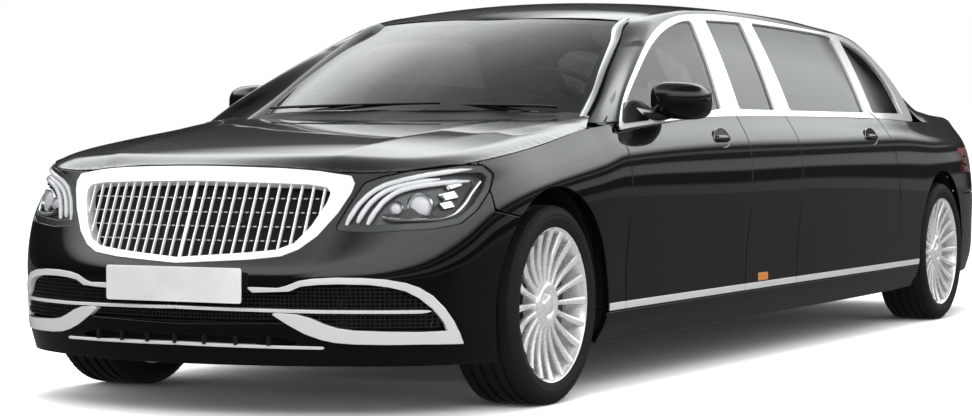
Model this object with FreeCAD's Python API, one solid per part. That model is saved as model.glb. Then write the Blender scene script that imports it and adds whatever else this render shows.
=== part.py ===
"""A stretched four-door limousine with a fixed window bay between its doors, in its separate pieces.

Millimetres.  +Z is up, the car faces -Y and its left side is +X.  The origin is on the ground
under the middle of the car.  Each piece goes to parts/NAME.step.
"""
import FreeCAD, Part
import math
import os

V = FreeCAD.Vector
X_AXIS, Z_AXIS = V(1, 0, 0), V(0, 0, 1)

# ---------------------------------------------------------------- driving dimensions
HALF_WIDTH = 949.0          # middle of the car to its widest line, without mirrors
ROOF_HEIGHT = 1492.0        # ground to the top of the roof
BELT = 1000.0               # height where the side glass leaves the doors
FRONT_OVERHANG = 905.0      # nose to front axle
AXLE_TO_DOOR = 575.0        # front axle to the front door's leading edge
FRONT_DOOR = 1190.0         # front door, along the car
CENTRE_BAY = 600.0          # fixed bay between the doors, along the car
REAR_DOOR = 1310.0          # rear door, along the car
DOOR_TO_AXLE = 743.0        # rear door's trailing edge to the rear axle
REAR_OVERHANG = 1177.0      # rear axle to tail

TYRE_RADIUS = 340.0
TYRE_WIDTH = 245.0
RIM_RADIUS = TYRE_RADIUS - 68.0  # lip of the rim, a tyre wall inside the tread
RIM_WIDTH = 230.0
WHEEL_X = 814.0             # middle of the car to the middle of a tyre
ARCH_GAP = 60.0             # tyre to the edge of the wheel arch
FLOOR_Z = 180.0             # underside of the body
FLOOR_PLATE = 35.0

SHUT_GAP = 5.0              # between a moving panel and its neighbour
PANEL = 40.0                # fender, quarter and bumper wall
DOOR_INNER = 117.0          # widest line to a door's inner face
FRAME = 45.0                # window frame, measured across the car
GLASS = 6.0
GLASS_SET = 12.0            # outer face of a window frame to its glass
LEAN = 0.5875               # side glass: sideways lean for each millimetre of height
HOOD_THICK = 30.0
LID_THICK = 30.0
ROOF_THICK = 30.0

WHEELBASE = AXLE_TO_DOOR + FRONT_DOOR + CENTRE_BAY + REAR_DOOR + DOOR_TO_AXLE
LENGTH = FRONT_OVERHANG + WHEELBASE + REAR_OVERHANG
NOSE_Y = -LENGTH / 2
FRONT_AXLE_Y = NOSE_Y + FRONT_OVERHANG
DOOR_1_Y = FRONT_AXLE_Y + AXLE_TO_DOOR
DOOR_1_END = DOOR_1_Y + FRONT_DOOR
DOOR_2_Y = DOOR_1_END + CENTRE_BAY
DOOR_2_END = DOOR_2_Y + REAR_DOOR
REAR_AXLE_Y = DOOR_2_END + DOOR_TO_AXLE
TAIL_Y = REAR_AXLE_Y + REAR_OVERHANG
ARCH_RADIUS = TYRE_RADIUS + ARCH_GAP
GLASS_TOP_X = HALF_WIDTH - 84.0     # side glass plane at the belt

# ---------------------------------------------------------------- body side
# Stations round the left side from the nose to the tail.  Columns: widest line x as a share of
# HALF_WIDTH, its y, then (inset, height) of the rings foot, sill, lower, waist, shoulder, edge.
FOOT, SILL, LOWER, WAIST, SHOULDER, EDGE = range(6)
STATIONS = (
    (0.000, NOSE_Y, (30, 178), (12, 255), (8, 345), (0, 450), (40, 560), (150, 812)),
    (0.348, NOSE_Y + 43, (30, 178), (12, 255), (8, 345), (0, 450), (38, 560), (140, 806)),
    (0.632, NOSE_Y + 140, (30, 178), (12, 255), (8, 345), (0, 450), (32, 575), (110, 790)),
    (0.811, NOSE_Y + 250, (30, 178), (12, 255), (6, 345), (0, 460), (24, 600), (85, 800)),
    (0.915, NOSE_Y + 378, (28, 178), (8, 255), (4, 350), (0, 480), (18, 640), (75, 812)),
    (0.964, FRONT_AXLE_Y - ARCH_RADIUS, (28, 178), (6, 255), (2, 360), (0, 500), (14, 690), (72, 828)),
    (0.995, FRONT_AXLE_Y, (30, 178), (6, 260), (2, 400), (0, 560), (10, 760), (76, 876)),
    (1.000, FRONT_AXLE_Y + 385, (45, 178), (8, 270), (6, 420), (0, 600), (12, 815), (84, 935)),
    (1.000, DOOR_1_Y, (50, 178), (10, 275), (9, 430), (0, 620), (14, 840), (76, 952)),
    (1.000, DOOR_1_END, (52, 178), (12, 285), (10, 440), (0, 650), (20, 870), (80, 994)),
    (1.000, DOOR_2_Y, (52, 178), (12, 285), (9, 440), (0, 650), (20, 872), (84, BELT)),
    (0.999, DOOR_2_END, (50, 182), (10, 290), (6, 450), (0, 650), (24, 875), (86, 994)),
    (0.996, REAR_AXLE_Y - 393, (45, 190), (8, 300), (3, 460), (0, 650), (26, 872), (92, 986)),
    (0.988, REAR_AXLE_Y, (40, 200), (8, 310), (2, 470), (0, 650), (28, 868), (115, 982)),
    (0.964, REAR_AXLE_Y + 397, (36, 210), (8, 315), (2, 470), (0, 640), (30, 860), (130, 985)),
    (0.908, TAIL_Y - 430, (34, 220), (8, 320), (2, 470), (0, 620), (34, 850), (120, 985)),
    (0.785, TAIL_Y - 200, (34, 225), (8, 325), (0, 470), (4, 620), (40, 850), (110, 990)),
    (0.527, TAIL_Y - 70, (34, 228), (8, 325), (0, 470), (8, 620), (44, 850), (100, 1000)),
    (0.274, TAIL_Y - 15, (34, 230), (8, 325), (0, 470), (10, 620), (46, 850), (100, 1004)),
    (0.000, TAIL_Y, (34, 230), (8, 325), (0, 470), (10, 620), (46, 850), (100, 1006)),
)
AT_ARCH_1, AT_DOOR_1, AT_ARCH_2 = 5, 8, 14

saved = []
os.makedirs("parts", exist_ok=True)


def save(name, *solids):
    """Write one piece, made of one or more solids, to its own file."""
    shape = solids[0] if len(solids) == 1 else Part.makeCompound(list(solids))
    shape.exportStep("parts/%s.step" % name)
    saved.append(name)


def mirrored(shape):
    """The same shape on the other side of the car."""
    return shape.mirror(V(0, 0, 0), X_AXIS)


def box(x0, x1, y0, y1, z0, z1):
    return Part.makeBox(x1 - x0, y1 - y0, z1 - z0, V(x0, y0, z0))


def rod(p0, p1, radius):
    """A round bar from one point to another."""
    run = V(*p1) - V(*p0)
    return Part.makeCylinder(radius, run.Length, V(*p0), run)


def polygon(points):
    return Part.makePolygon([V(*p) for p in points] + [V(*points[0])])


def loft(sections):
    """A solid with straight lines from each section to the next."""
    return Part.makeLoft([polygon(s) for s in sections], True, True)


def prism_x(outline, x0, x1):
    """A (y, z) outline stretched across the car from x0 to x1."""
    face = Part.Face(polygon([(x0, y, z) for y, z in outline]))
    return face.extrude(V(x1 - x0, 0, 0))


def prism_y(outline, y0, y1):
    face = Part.Face(polygon([(x, y0, z) for x, z in outline]))
    return face.extrude(V(0, y1 - y0, 0))


def prism_z(outline, z0, z1):
    face = Part.Face(polygon([(x, y, z0) for x, y in outline]))
    return face.extrude(V(0, 0, z1 - z0))


def fuse(first, *others):
    return first.multiFuse(list(others)).removeSplitter()


def lerp(a, b, t):
    return a + (b - a) * t


def table(rows, at):
    """Read a table of rows (key, value, ...) at a key, with straight lines between rows."""
    if at <= rows[0][0]:
        return rows[0][1:]
    for low, high in zip(rows, rows[1:]):
        if at <= high[0]:
            t = (at - low[0]) / (high[0] - low[0])
            return tuple(lerp(a, b, t) for a, b in zip(low[1:], high[1:]))
    return rows[-1][1:]


def plan(i):
    """Widest line at a station, seen from above."""
    return HALF_WIDTH * STATIONS[i][0], STATIONS[i][1]


def inward(i):
    """Unit vector, seen from above, that points from a station into the car."""
    x0, y0 = plan(max(i - 1, 0))
    x1, y1 = plan(min(i + 1, len(STATIONS) - 1))
    if i in (0, len(STATIONS) - 1):
        return (0.0, 1.0) if i == 0 else (0.0, -1.0)
    run = math.hypot(x1 - x0, y1 - y0)
    return -(y1 - y0) / run, (x1 - x0) / run


def skin(i, ring, depth=0.0):
    """A point on the body side, or that far inside it."""
    x, y = plan(i)
    nx, ny = inward(i)
    inset, z = STATIONS[i][2 + ring]
    return x + nx * (inset + depth), y + ny * (inset + depth), z


def wall(first, last, rings, depth=PANEL):
    """The body side between two stations, as a wall of even depth over the named rings."""
    sections = []
    for i in range(first, last + 1):
        outer = [skin(i, r) for r in rings]
        inner = [skin(i, r, depth) for r in reversed(rings)]
        sections.append(outer + inner)
    return loft(sections)


def largest(shape):
    """The main solid of a cut, without the slivers that the cut leaves."""
    return max(shape.Solids, key=lambda solid: solid.Volume)


def both(shape):
    return shape, mirrored(shape)


def edge_line(first, last, gap=0.0):
    """The top edge of the body side seen from above, moved inward by a gap."""
    return [skin(i, EDGE, gap)[:2] for i in range(first, last + 1)]


def widen(points):
    """A half outline on the left, closed by its mirror image on the right."""
    return points + [(-x, y) for x, y in reversed(points) if x > 0]


# ---------------------------------------------------------------- side outlines, (y, z)
TOP_Z = ROOF_HEIGHT - 72.0          # highest point of the side frame
D1, D1E, D2, D2E = DOOR_1_Y, DOOR_1_END, DOOR_2_Y, DOOR_2_END
SILL_Z = 292.0
GLASS_FOOT = BELT + 22.0
# outer edge of the side frame, from the foot of the front post over the roof to the rear tip
FRAME_EDGE = (
    (D1 + 13, BELT - 58), (D1 + 158, BELT + 38), (D1 + 398, BELT + 157), (D1 + 650, TOP_Z - 155),
    (D1 + 900, TOP_Z - 71), (D1 + 1133, TOP_Z - 23), (D1E + 199, TOP_Z), (D2 + 141, TOP_Z + 7),
    (D2E - 604, TOP_Z - 6), (D2E - 152, TOP_Z - 22), (D2E + 125, TOP_Z - 58),
    (D2E + 390, BELT + 290), (D2E + 545, BELT + 150), (D2E + 570, BELT + 40), (D2E + 480, BELT - 15),
)
FRONT_GLASS = (
    (D1 + 179, GLASS_FOOT + 16), (D1 + 444, BELT + 158), (D1 + 685, TOP_Z - 163), (D1 + 924, TOP_Z - 89),
    (D1 + 1155, TOP_Z - 43), (D1E + 106, TOP_Z - 30), (D1E - 88, GLASS_FOOT),
)
BAY_GLASS = (
    (D1E + 264, TOP_Z - 22), (D2 + 77, TOP_Z - 14), (D2 - 89, GLASS_FOOT), (D1E + 104, GLASS_FOOT),
)
REAR_GLASS = (
    (D2 + 201, TOP_Z - 13), (D2E - 120, TOP_Z - 32), (D2E - 247, GLASS_FOOT), (D2 + 89, GLASS_FOOT),
)
QUARTER_GLASS = (
    (D2E - 17, TOP_Z - 51), (D2E + 187, BELT + 295), (D2E + 290, BELT + 182), (D2E + 310, GLASS_FOOT),
    (D2E - 125, GLASS_FOOT),
)
DOOR_1_TOP = tuple((y, z - 14) for y, z in FRAME_EDGE[1:6])
# leading and trailing shut lines, bottom to top
LINE_1 = ((D1 - 20, SILL_Z), (D1 + 5, 620), (D1 + 35, 840), (D1 + 45, BELT - 48))
LINE_2 = ((D1E - 45, SILL_Z), (D1E, 620), (D1E + 36, 870), (D1E + 40, BELT), (D1E + 188, TOP_Z - 12))
LINE_3 = ((D2 - 60, SILL_Z), (D2 - 18, 620), (D2 + 16, 870), (D2 + 8, BELT), (D2 + 140, TOP_Z - 6))
LINE_4 = ((D2E - 40, SILL_Z), (D2E + 18, 620), (D2E - 25, 875), (D2E - 70, BELT - 5),
          (D2E - 182, BELT + 30), (D2E - 68, TOP_Z - 44))


def side_x(z):
    """Outer face of the side glass frame at a height."""
    return GLASS_TOP_X - LEAN * (z - BELT)


# The cabin side as one slab from the sills to the roof.  Columns: station, inset of the window plane.
SLAB_TOP = TOP_Z + 60
SLAB = ((AT_DOOR_1 - 1, 0), (AT_DOOR_1, 0), (AT_DOOR_1 + 1, 0), (AT_DOOR_1 + 2, 0),
        (AT_DOOR_1 + 3, 0), (AT_DOOR_1 + 4, 14), (AT_DOOR_1 + 5, 46), (AT_DOOR_1 + 6, 100))


def side_slab(outer=0.0, frame=FRAME, inner=DOOR_INNER):
    """The side of the cabin between two depths: the frame over the belt, the door wall below it."""
    sections = []
    for i, taper in SLAB:
        y = STATIONS[i][1]
        skins = [skin(i, r, outer) for r in (SILL, LOWER, WAIST, SHOULDER, EDGE)]
        side = [(x, y, z) for x, _, z in skins]
        side[0] = (side[0][0], y, SILL_Z - 20)
        top_x = side_x(SLAB_TOP) - taper
        belt_x = side_x(GLASS_FOOT) - taper
        side.append((belt_x - outer, y, GLASS_FOOT))
        side.append((top_x - outer, y, SLAB_TOP))
        side.append((top_x - frame, y, SLAB_TOP))
        side.append((belt_x - frame, y, GLASS_FOOT))
        side.append((HALF_WIDTH - inner, y, 650))
        side.append((HALF_WIDTH - inner, y, SILL_Z - 20))
        sections.append(side)
    return loft(sections)


TAPER = 0.36            # a door's trailing face runs inward this much, so that it swings clear


def door_cutter(front, top, rear):
    """A door's outline across the car, its trailing face slanting in towards the cabin."""
    x_in, x_out = 300.0, HALF_WIDTH + 60.0
    ends = []
    for x in (x_in, x_out):
        line = [(x, y, z) for y, z in front]
        line += [(x, y, z) for y, z in top]
        for y, z in reversed(rear):
            face_x = side_x(z) if z > BELT else HALF_WIDTH
            line.append((x, y + TAPER * (x - face_x), z))
        ends.append(line)
    return loft(ends)


def shifted(line, dy):
    return tuple((y + dy, z) for y, z in line)


FAR = 3000.0
HALF_GAP = SHUT_GAP / 2
RAIL_INNER = FRAME + SHUT_GAP + 3   # outer face of the side frame to the posts behind the doors
POST_OUTER = side_x(GLASS_FOOT) - RAIL_INNER    # outer face of the posts behind the doors
POST_TOP = GLASS_FOOT
HINGE_GAP = 0.4             # a hinge leaf to the post that carries it
HINGE_Y = DOOR_1_Y - 30     # rear face of the front hinge post

slab = side_slab()


def window(outline):
    """One pane of side glass in the frame's opening."""
    sections = []
    for i, taper in SLAB:
        y = STATIONS[i][1]
        foot_x = side_x(BELT) - taper - GLASS_SET
        top_x = side_x(SLAB_TOP) - taper - GLASS_SET
        sections.append([(foot_x, y, BELT), (top_x, y, SLAB_TOP), (top_x - GLASS, y, SLAB_TOP),
                         (foot_x - GLASS, y, BELT)])
    return loft(sections).common(prism_x(outline, 300, HALF_WIDTH))


def opening(outline):
    return prism_x(outline, 300, HALF_WIDTH + 60)


# ---------------------------------------------------------------- doors
HINGE_HEIGHTS = (430, 740)
HINGE_HALF = 22.0           # half the height of a hinge leaf


def front_door():
    cutter = door_cutter(shifted(LINE_1, HALF_GAP), DOOR_1_TOP, shifted(LINE_2, -HALF_GAP))
    shell = slab.common(cutter).cut(opening(FRONT_GLASS))
    leaves = []
    for z in HINGE_HEIGHTS:
        leaves.append(box(HALF_WIDTH - 118, HALF_WIDTH - 84, HINGE_Y + HINGE_GAP, DOOR_1_Y + 42,
                          z - HINGE_HALF, z + HINGE_HALF))
    return fuse(shell, *leaves)


def rear_door():
    top = ((D2E - 604, TOP_Z - 20),)
    cutter = door_cutter(shifted(LINE_3, HALF_GAP), top, shifted(LINE_4, -HALF_GAP))
    shell = slab.common(cutter).cut(opening(REAR_GLASS))
    leaves = []
    for z in HINGE_HEIGHTS:
        leaves.append(box(POST_OUTER + HINGE_GAP, HALF_WIDTH - DOOR_INNER + 15, DOOR_2_Y + 12, DOOR_2_Y + 38,
                          z - HINGE_HALF, z + HINGE_HALF))
    return fuse(shell, *leaves)


def door_mirror():
    """Mirror housing on its foot, at the corner of the front window."""
    y, z = DOOR_1_Y + 470, BELT + 40
    shell = loft([
        [(HALF_WIDTH - 95, y - 30, z - 66), (HALF_WIDTH - 95, y + 40, z - 66),
         (HALF_WIDTH - 95, y + 40, z - 30), (HALF_WIDTH - 95, y - 30, z - 30)],
        [(HALF_WIDTH + 20, y - 75, z - 72), (HALF_WIDTH + 20, y + 50, z - 72),
         (HALF_WIDTH + 20, y + 50, z + 66), (HALF_WIDTH + 20, y - 75, z + 66)],
        [(HALF_WIDTH + 108, y - 20, z - 40), (HALF_WIDTH + 108, y + 45, z - 40),
         (HALF_WIDTH + 108, y + 45, z + 40), (HALF_WIDTH + 108, y - 20, z + 40)],
    ])
    return shell


# ---------------------------------------------------------------- fixed side panels
def arch(axle_y, radius=ARCH_RADIUS):
    """The wheel arch, as a round cut across the car."""
    centre = V(-FAR, axle_y, TYRE_RADIUS)
    return Part.makeCylinder(radius, 2 * FAR, centre, X_AXIS)


def centre_panel():
    """The fixed bay between the doors, with its window cut."""
    front = shifted(LINE_2, HALF_GAP)
    rear = shifted(LINE_3, -HALF_GAP)
    outline = front + ((D1E + 264, TOP_Z - 8), (D2 + 77, TOP_Z - 2)) + tuple(reversed(rear))
    return slab.common(opening(outline)).cut(opening(BAY_GLASS))


def front_fender(lamp, bumper, hood_cutter):
    side = wall(3, AT_DOOR_1 + 1, (SILL, LOWER, WAIST, SHOULDER, EDGE))
    ahead = prism_x(((NOSE_Y - 50, 0), (D1 - 22, 0), (D1 - 22, SILL_Z))
                    + shifted(LINE_1, -HALF_GAP) + ((D1 + 60, BELT + 60), (NOSE_Y - 50, BELT + 60)), 0, FAR)
    return largest(side.common(ahead).cut(arch(FRONT_AXLE_Y)).cut(lamp).cut(bumper).cut(hood_cutter))


def rear_quarter(bumper, lamp, lid_cutter, backlight_cutter):
    """Lower wall from the rear door round to the boot lid, with the roof's rear post above it."""
    low = wall(AT_DOOR_1 + 2, len(STATIONS) - 1, (SILL, LOWER, WAIST, SHOULDER, EDGE))
    corners = ((D2E - 60, BELT + 60), (TAIL_Y + 50, BELT + 60), (TAIL_Y + 50, 0), (D2E - 40, 0))
    behind = prism_x(shifted(LINE_4[:4], HALF_GAP) + corners, 0, FAR)
    low = low.common(behind).cut(arch(REAR_AXLE_Y)).cut(bumper).cut(lamp).cut(lid_cutter)
    post = []
    for i, taper in SLAB[3:]:
        y = STATIONS[i][1]
        edge_x, _, edge_z = skin(i, EDGE)
        foot_x = side_x(edge_z) - taper
        top_x = side_x(SLAB_TOP) - taper
        post.append([(foot_x, y, edge_z), (top_x, y, SLAB_TOP), (top_x - FRAME, y, SLAB_TOP),
                     (foot_x - FRAME, y, edge_z - 10)])
    outline = shifted(LINE_4[3:], HALF_GAP) + REAR_POST
    upper = loft(post).common(opening(outline)).fuse(rear_post_fill())
    upper = upper.cut(opening(QUARTER_GLASS)).cut(backlight_cutter)
    return largest(low.fuse(upper))


# outer edge of the rear post from the roof down to the boot, and its foot along the belt
REAR_POST = ((D2E - 60, TOP_Z - 28), (D2E + 200, TOP_Z - 50), (REAR_AXLE_Y - 330, TOP_Z - 110),
             (REAR_AXLE_Y - 80, TOP_Z - 215), (REAR_AXLE_Y + 200, BELT + 75), (REAR_AXLE_Y + 396, BELT - 16),
             (D2E + 300, BELT - 16))

# ---------------------------------------------------------------- nose, lamps and bumpers
GRILLE = ((-530, 771), (-300, 801), (0, 812), (300, 801), (530, 771), (548, 735), (520, 620), (455, 548),
          (250, 512), (0, 499), (-250, 512), (-455, 548), (-520, 620), (-548, 735))
LAMP_VIEW = math.radians(40)        # the lamps' outlines are drawn as seen from this far round
LAMP = ((-1598, 607), (-1520, 735), (-1420, 790), (-1245, 812), (-1120, 815), (-1050, 800), (-1075, 730),
        (-1130, 665), (-1240, 632), (-1393, 615))
TAIL_LAMP = ((430, 690), (430, 830), (HALF_WIDTH + 20, 850), (HALF_WIDTH + 20, 700))
LAMP_DEPTH = 70.0
GRILLE_DEPTH = 60.0
BAR_PITCH = 39.0
BAR_WIDTH = 9.0
PLATE_WIDTH, PLATE_HEIGHT, PLATE_THICK = 520.0, 113.0, 6.0
FRONT_PLATE_Z, REAR_PLATE_Z = 435.0, 520.0


def along(w, z, reach):
    """A point of a lamp's outline, carried that far along its view."""
    c, s = math.cos(LAMP_VIEW), math.sin(LAMP_VIEW)
    return w * c + reach * s, w * s - reach * c, z


def lamp_cutter():
    near = [along(w, z, 1500) for w, z in LAMP]
    far = [along(w, z, 3400) for w, z in LAMP]
    return loft([near, far])


def nose_wall(rings, depth):
    half = wall(0, AT_ARCH_1, rings, depth)
    return fuse(half, mirrored(half))


def tail_wall(rings, depth):
    half = wall(AT_ARCH_2, len(STATIONS) - 1, rings, depth)
    return fuse(half, mirrored(half))


def radiator_grille():
    """A frame with upright bars in front of a dark backing sheet."""
    block = nose_wall((WAIST, SHOULDER, EDGE), GRILLE_DEPTH)
    solid = block.common(prism_y(GRILLE, NOSE_Y - 50, NOSE_Y + 400))
    inner = tuple((x * 0.91, lerp(655, z, 0.82)) for x, z in GRILLE)
    pocket = nose_wall((WAIST, SHOULDER, EDGE), GRILLE_DEPTH - 12).common(
        prism_y(inner, NOSE_Y - 50, NOSE_Y + 400))
    slots = []
    edge = -12.5 * BAR_PITCH
    for n in range(25):
        x = edge + n * BAR_PITCH + BAR_WIDTH / 2
        slots.append(box(x, x + BAR_PITCH - BAR_WIDTH, NOSE_Y - 50, NOSE_Y + 400, 400, 900))
    return solid.cut(pocket.common(Part.makeCompound(slots)))


def plate(y, z, facing):
    front, back = (y - PLATE_THICK, y) if facing < 0 else (y, y + PLATE_THICK)
    return box(-PLATE_WIDTH / 2, PLATE_WIDTH / 2, front, back, z - PLATE_HEIGHT / 2, z + PLATE_HEIGHT / 2)


grille_cutter = prism_y(GRILLE, NOSE_Y - 50, NOSE_Y + 400)
lamp_left = lamp_cutter()
lamps_cutter = lamp_left.fuse(mirrored(lamp_left))
BUMPER_RINGS = (FOOT, SILL, LOWER, WAIST, SHOULDER)
REAR_BUMPER_RINGS = (FOOT, SILL, LOWER, WAIST)
front_bumper = nose_wall(BUMPER_RINGS, PANEL).cut(grille_cutter)
rear_bumper = tail_wall(REAR_BUMPER_RINGS, PANEL)
# the opening behind the lower mesh, and one behind each side mesh
INTAKES = (
    ((-470, 262), (470, 262), (430, 345), (-430, 345)),
    ((480, 275), (790, 290), (740, 400), (480, 392)),
    ((-480, 275), (-790, 290), (-740, 400), (-480, 392)),
)
for outline in INTAKES:
    front_bumper = front_bumper.cut(prism_y(outline, NOSE_Y - 50, NOSE_Y + 500))
bumper_block = nose_wall(BUMPER_RINGS, 2 * PANEL)
rear_bumper_block = tail_wall(REAR_BUMPER_RINGS, 2 * PANEL)

# ---------------------------------------------------------------- hood, boot lid and deck
# Cross sections of the hood.  Columns: y, edge x, edge z, ridge x, ridge z, crease x, crease z, centre z.
HOOD = (
    (NOSE_Y - 20, 700, 720, 520, 775, 400, 788, 795),
    (NOSE_Y + 150, 780, 760, 530, 802, 420, 816, 824),
    (NOSE_Y + 300, 850, 785, 560, 836, 440, 850, 858),
    (NOSE_Y + 500, 880, 826, 600, 872, 470, 888, 894),
    (FRONT_AXLE_Y, 890, 868, 650, 922, 500, 936, 942),
    (FRONT_AXLE_Y + 245, 890, 900, 690, 946, 530, 959, 965),
    (FRONT_AXLE_Y + 455, 890, 934, 740, 968, 560, 976, 980),
    (DOOR_1_Y + 140, 890, 962, 790, 990, 600, 996, 998),
)
HOOD_REAR = ((0, DOOR_1_Y - 210), (400, DOOR_1_Y - 175), (640, DOOR_1_Y - 80), (762, DOOR_1_Y + 60))
HOOD_NOSE = ((0, NOSE_Y + 130), (300, NOSE_Y + 140), (530, NOSE_Y + 205), (600, NOSE_Y + 290),
             (700, NOSE_Y + 400), (770, NOSE_Y + 490))
HOOD_EDGE_X = ((NOSE_Y + 490, 770), (FRONT_AXLE_Y - 400, 835), (FRONT_AXLE_Y, 862),
               (FRONT_AXLE_Y + 385, 858), (DOOR_1_Y - 90, 852), (DOOR_1_Y + 55, 778))


def hood_slab(top, bottom):
    sections = []
    for y, ex, ez, rx, rz, cx, cz, mz in HOOD:
        half = [(ex, ez), (rx, rz), (cx, cz), (0, mz)]
        upper = [(-x, z) for x, z in half[:3]] + list(reversed(half))
        line = [(x, y, z + top) for x, z in upper] + [(x, y, z - bottom) for x, z in reversed(upper)]
        sections.append(line)
    return loft(sections)


def hood_plan(gap):
    """The hood seen from above, with that much left all round."""
    nose = [(x, y + gap) for x, y in HOOD_NOSE]
    side = [(x - gap, y) for y, x in HOOD_EDGE_X[1:]]
    rear = [(x - gap, y - gap) for x, y in reversed(HOOD_REAR[1:])] + [(0, HOOD_REAR[0][1] - gap)]
    right = [(-x, y) for x, y in reversed(nose[1:] + side + rear[:-1])]
    return nose + side + rear + right


HOOD_HINGE_X = (690, 745)
HOOD_LUG_Z = 900.0
LID_HINGE_X = (500, 560)
LID_LUG_Z = 984.0
hood_hole = prism_z(hood_plan(0.0), 700, 1100)
hood_cutter = hood_slab(60, 70).common(hood_hole)
hood = hood_slab(0, HOOD_THICK).common(prism_z(hood_plan(SHUT_GAP), 600, 1200))
hood = hood.cut(grille_cutter).cut(lamps_cutter)
for x0, x1 in (HOOD_HINGE_X, (-HOOD_HINGE_X[1], -HOOD_HINGE_X[0])):
    hood = hood.fuse(box(x0 + 8, x1 - 8, DOOR_1_Y - 45, DOOR_1_Y - 12, HOOD_LUG_Z, HOOD_LUG_Z + 60))

# Cross sections of the rear deck.  Columns: y, edge x, edge z, middle z.
DECK = (
    (REAR_AXLE_Y + 140, 812, 978, 1010),
    (REAR_AXLE_Y + 396, 788, 985, 1062),
    (TAIL_Y - 430, 745, 988, 1040),
    (TAIL_Y - 190, 680, 992, 1016),
    (TAIL_Y - 95, 560, 985, 1006),
)
LID_X = 610.0
LID_FRONT_Y = REAR_AXLE_Y + 330
LID_LOW_Z = 630.0


def deck_slab(thick):
    sections = []
    for y, ex, ez, mz in DECK:
        ridge = lerp(ez, mz, 0.75)
        upper = [(-ex, ez), (-ex * 0.6, ridge), (0, mz), (ex * 0.6, ridge), (ex, ez)]
        lower = [(x, z - thick) for x, z in reversed(upper)]
        sections.append([(x, y, z) for x, z in upper + lower])
    return loft(sections)


tail_face = tail_wall((WAIST, SHOULDER, EDGE), PANEL)
lid_hole = fuse(box(-LID_X, LID_X, LID_FRONT_Y, TAIL_Y - 40, 900, 1200),
                box(-420, 420, TAIL_Y - 300, TAIL_Y + 100, LID_LOW_Z, 1200),
                box(-LID_X, LID_X, TAIL_Y - 300, TAIL_Y + 100, 870, 1200))
G = SHUT_GAP
lid_plan = fuse(box(-LID_X + G, LID_X - G, LID_FRONT_Y + G, TAIL_Y - 40, 875, 1200),
                box(-420 + G, 420 - G, TAIL_Y - 300, TAIL_Y + 100, LID_LOW_Z + G, 1200),
                box(-LID_X + G, LID_X - G, TAIL_Y - 300, TAIL_Y + 100, 870 + G, 1200))
deck_edge = widen(edge_line(AT_ARCH_2 - 2, len(STATIONS) - 1))
deck = deck_slab(LID_THICK).common(prism_z(deck_edge, 800, 1200))
boot_lid = deck.fuse(tail_face.cut(deck)).common(lid_plan).removeSplitter()
for x0, x1 in (LID_HINGE_X, (-LID_HINGE_X[1], -LID_HINGE_X[0])):
    lug = box(x0 + 8, x1 - 8, LID_FRONT_Y + 15, LID_FRONT_Y + 60, LID_LUG_Z, LID_LUG_Z + 42)
    boot_lid = boot_lid.fuse(lug)
tail_lamp_cutter = prism_y(TAIL_LAMP, REAR_AXLE_Y + 500, TAIL_Y + 50)
tail_lamps_cutter = tail_lamp_cutter.fuse(mirrored(tail_lamp_cutter)).cut(lid_hole)
tail_lamp = tail_wall((WAIST, SHOULDER, EDGE), LAMP_DEPTH).common(tail_lamps_cutter)
deck_sides = deck.cut(lid_hole)

# ---------------------------------------------------------------- roof and glass
# Roof cross sections.  Columns: y, rail x, rail z, middle x, middle z, centre z.
CROWN = ROOF_HEIGHT
WIND_TOP_Y = DOOR_1_Y + 730
ROOF = (
    (WIND_TOP_Y - 60, 560, CROWN - 138, 300, CROWN - 112, CROWN - 104),
    (WIND_TOP_Y + 90, 640, CROWN - 142, 560, CROWN - 106, CROWN - 74),
    (DOOR_1_END - 20, 640, CROWN - 92, 520, CROWN - 52, CROWN - 32),
    (DOOR_2_Y - 20, 628, CROWN - 66, 500, CROWN - 26, CROWN),
    (DOOR_2_END - 600, 634, CROWN - 77, 500, CROWN - 34, CROWN - 7),
    (DOOR_2_END - 20, 625, CROWN - 108, 500, CROWN - 62, CROWN - 37),
    (REAR_AXLE_Y - 440, 585, CROWN - 150, 470, CROWN - 105, CROWN - 80),
)
WIND_FOOT = ((714, DOOR_1_Y + 162, BELT - 3), (400, DOOR_1_Y - 10, BELT + 8), (0, DOOR_1_Y - 70, BELT + 10))
WIND_TOP = ((567, DOOR_1_Y + 819, CROWN - 129), (300, DOOR_1_Y + 752, CROWN - 116),
            (0, DOOR_1_Y + 730, CROWN - 112))
BACK_TOP = ((520, REAR_AXLE_Y - 430, CROWN - 122), (280, REAR_AXLE_Y - 440, CROWN - 96),
            (0, REAR_AXLE_Y - 444, CROWN - 86))
BACK_FOOT = ((640, REAR_AXLE_Y + 255, BELT + 58), (330, REAR_AXLE_Y + 310, BELT + 64),
             (0, REAR_AXLE_Y + 320, BELT + 66))


def pane(foot, top, thick):
    """A curved pane between two half lines, mirrored over the middle of the car."""
    left = list(zip(foot, top))
    right = [((-f[0], f[1], f[2]), (-t[0], t[1], t[2])) for f, t in reversed(left[:-1])]
    sections = []
    for f, t in left + right:
        run = V(*t) - V(*f)
        out = V(0, -run.z, run.y) if run.y > 0 else V(0, run.z, -run.y)
        out.normalize()
        step = out * (thick if out.z < 0 else -thick)
        sections.append([f, t, tuple(V(*t) + step), tuple(V(*f) + step)])
    return loft(sections)


def roof_slab(thick):
    sections = []
    for y, rx, rz, mx, mz, cz in ROOF:
        upper = [(-rx, rz), (-mx, mz), (0, cz), (mx, mz), (rx, rz)]
        lower = [(x, z - thick) for x, z in reversed(upper)]
        sections.append([(x, y, z) for x, z in upper + lower])
    return loft(sections)


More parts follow.
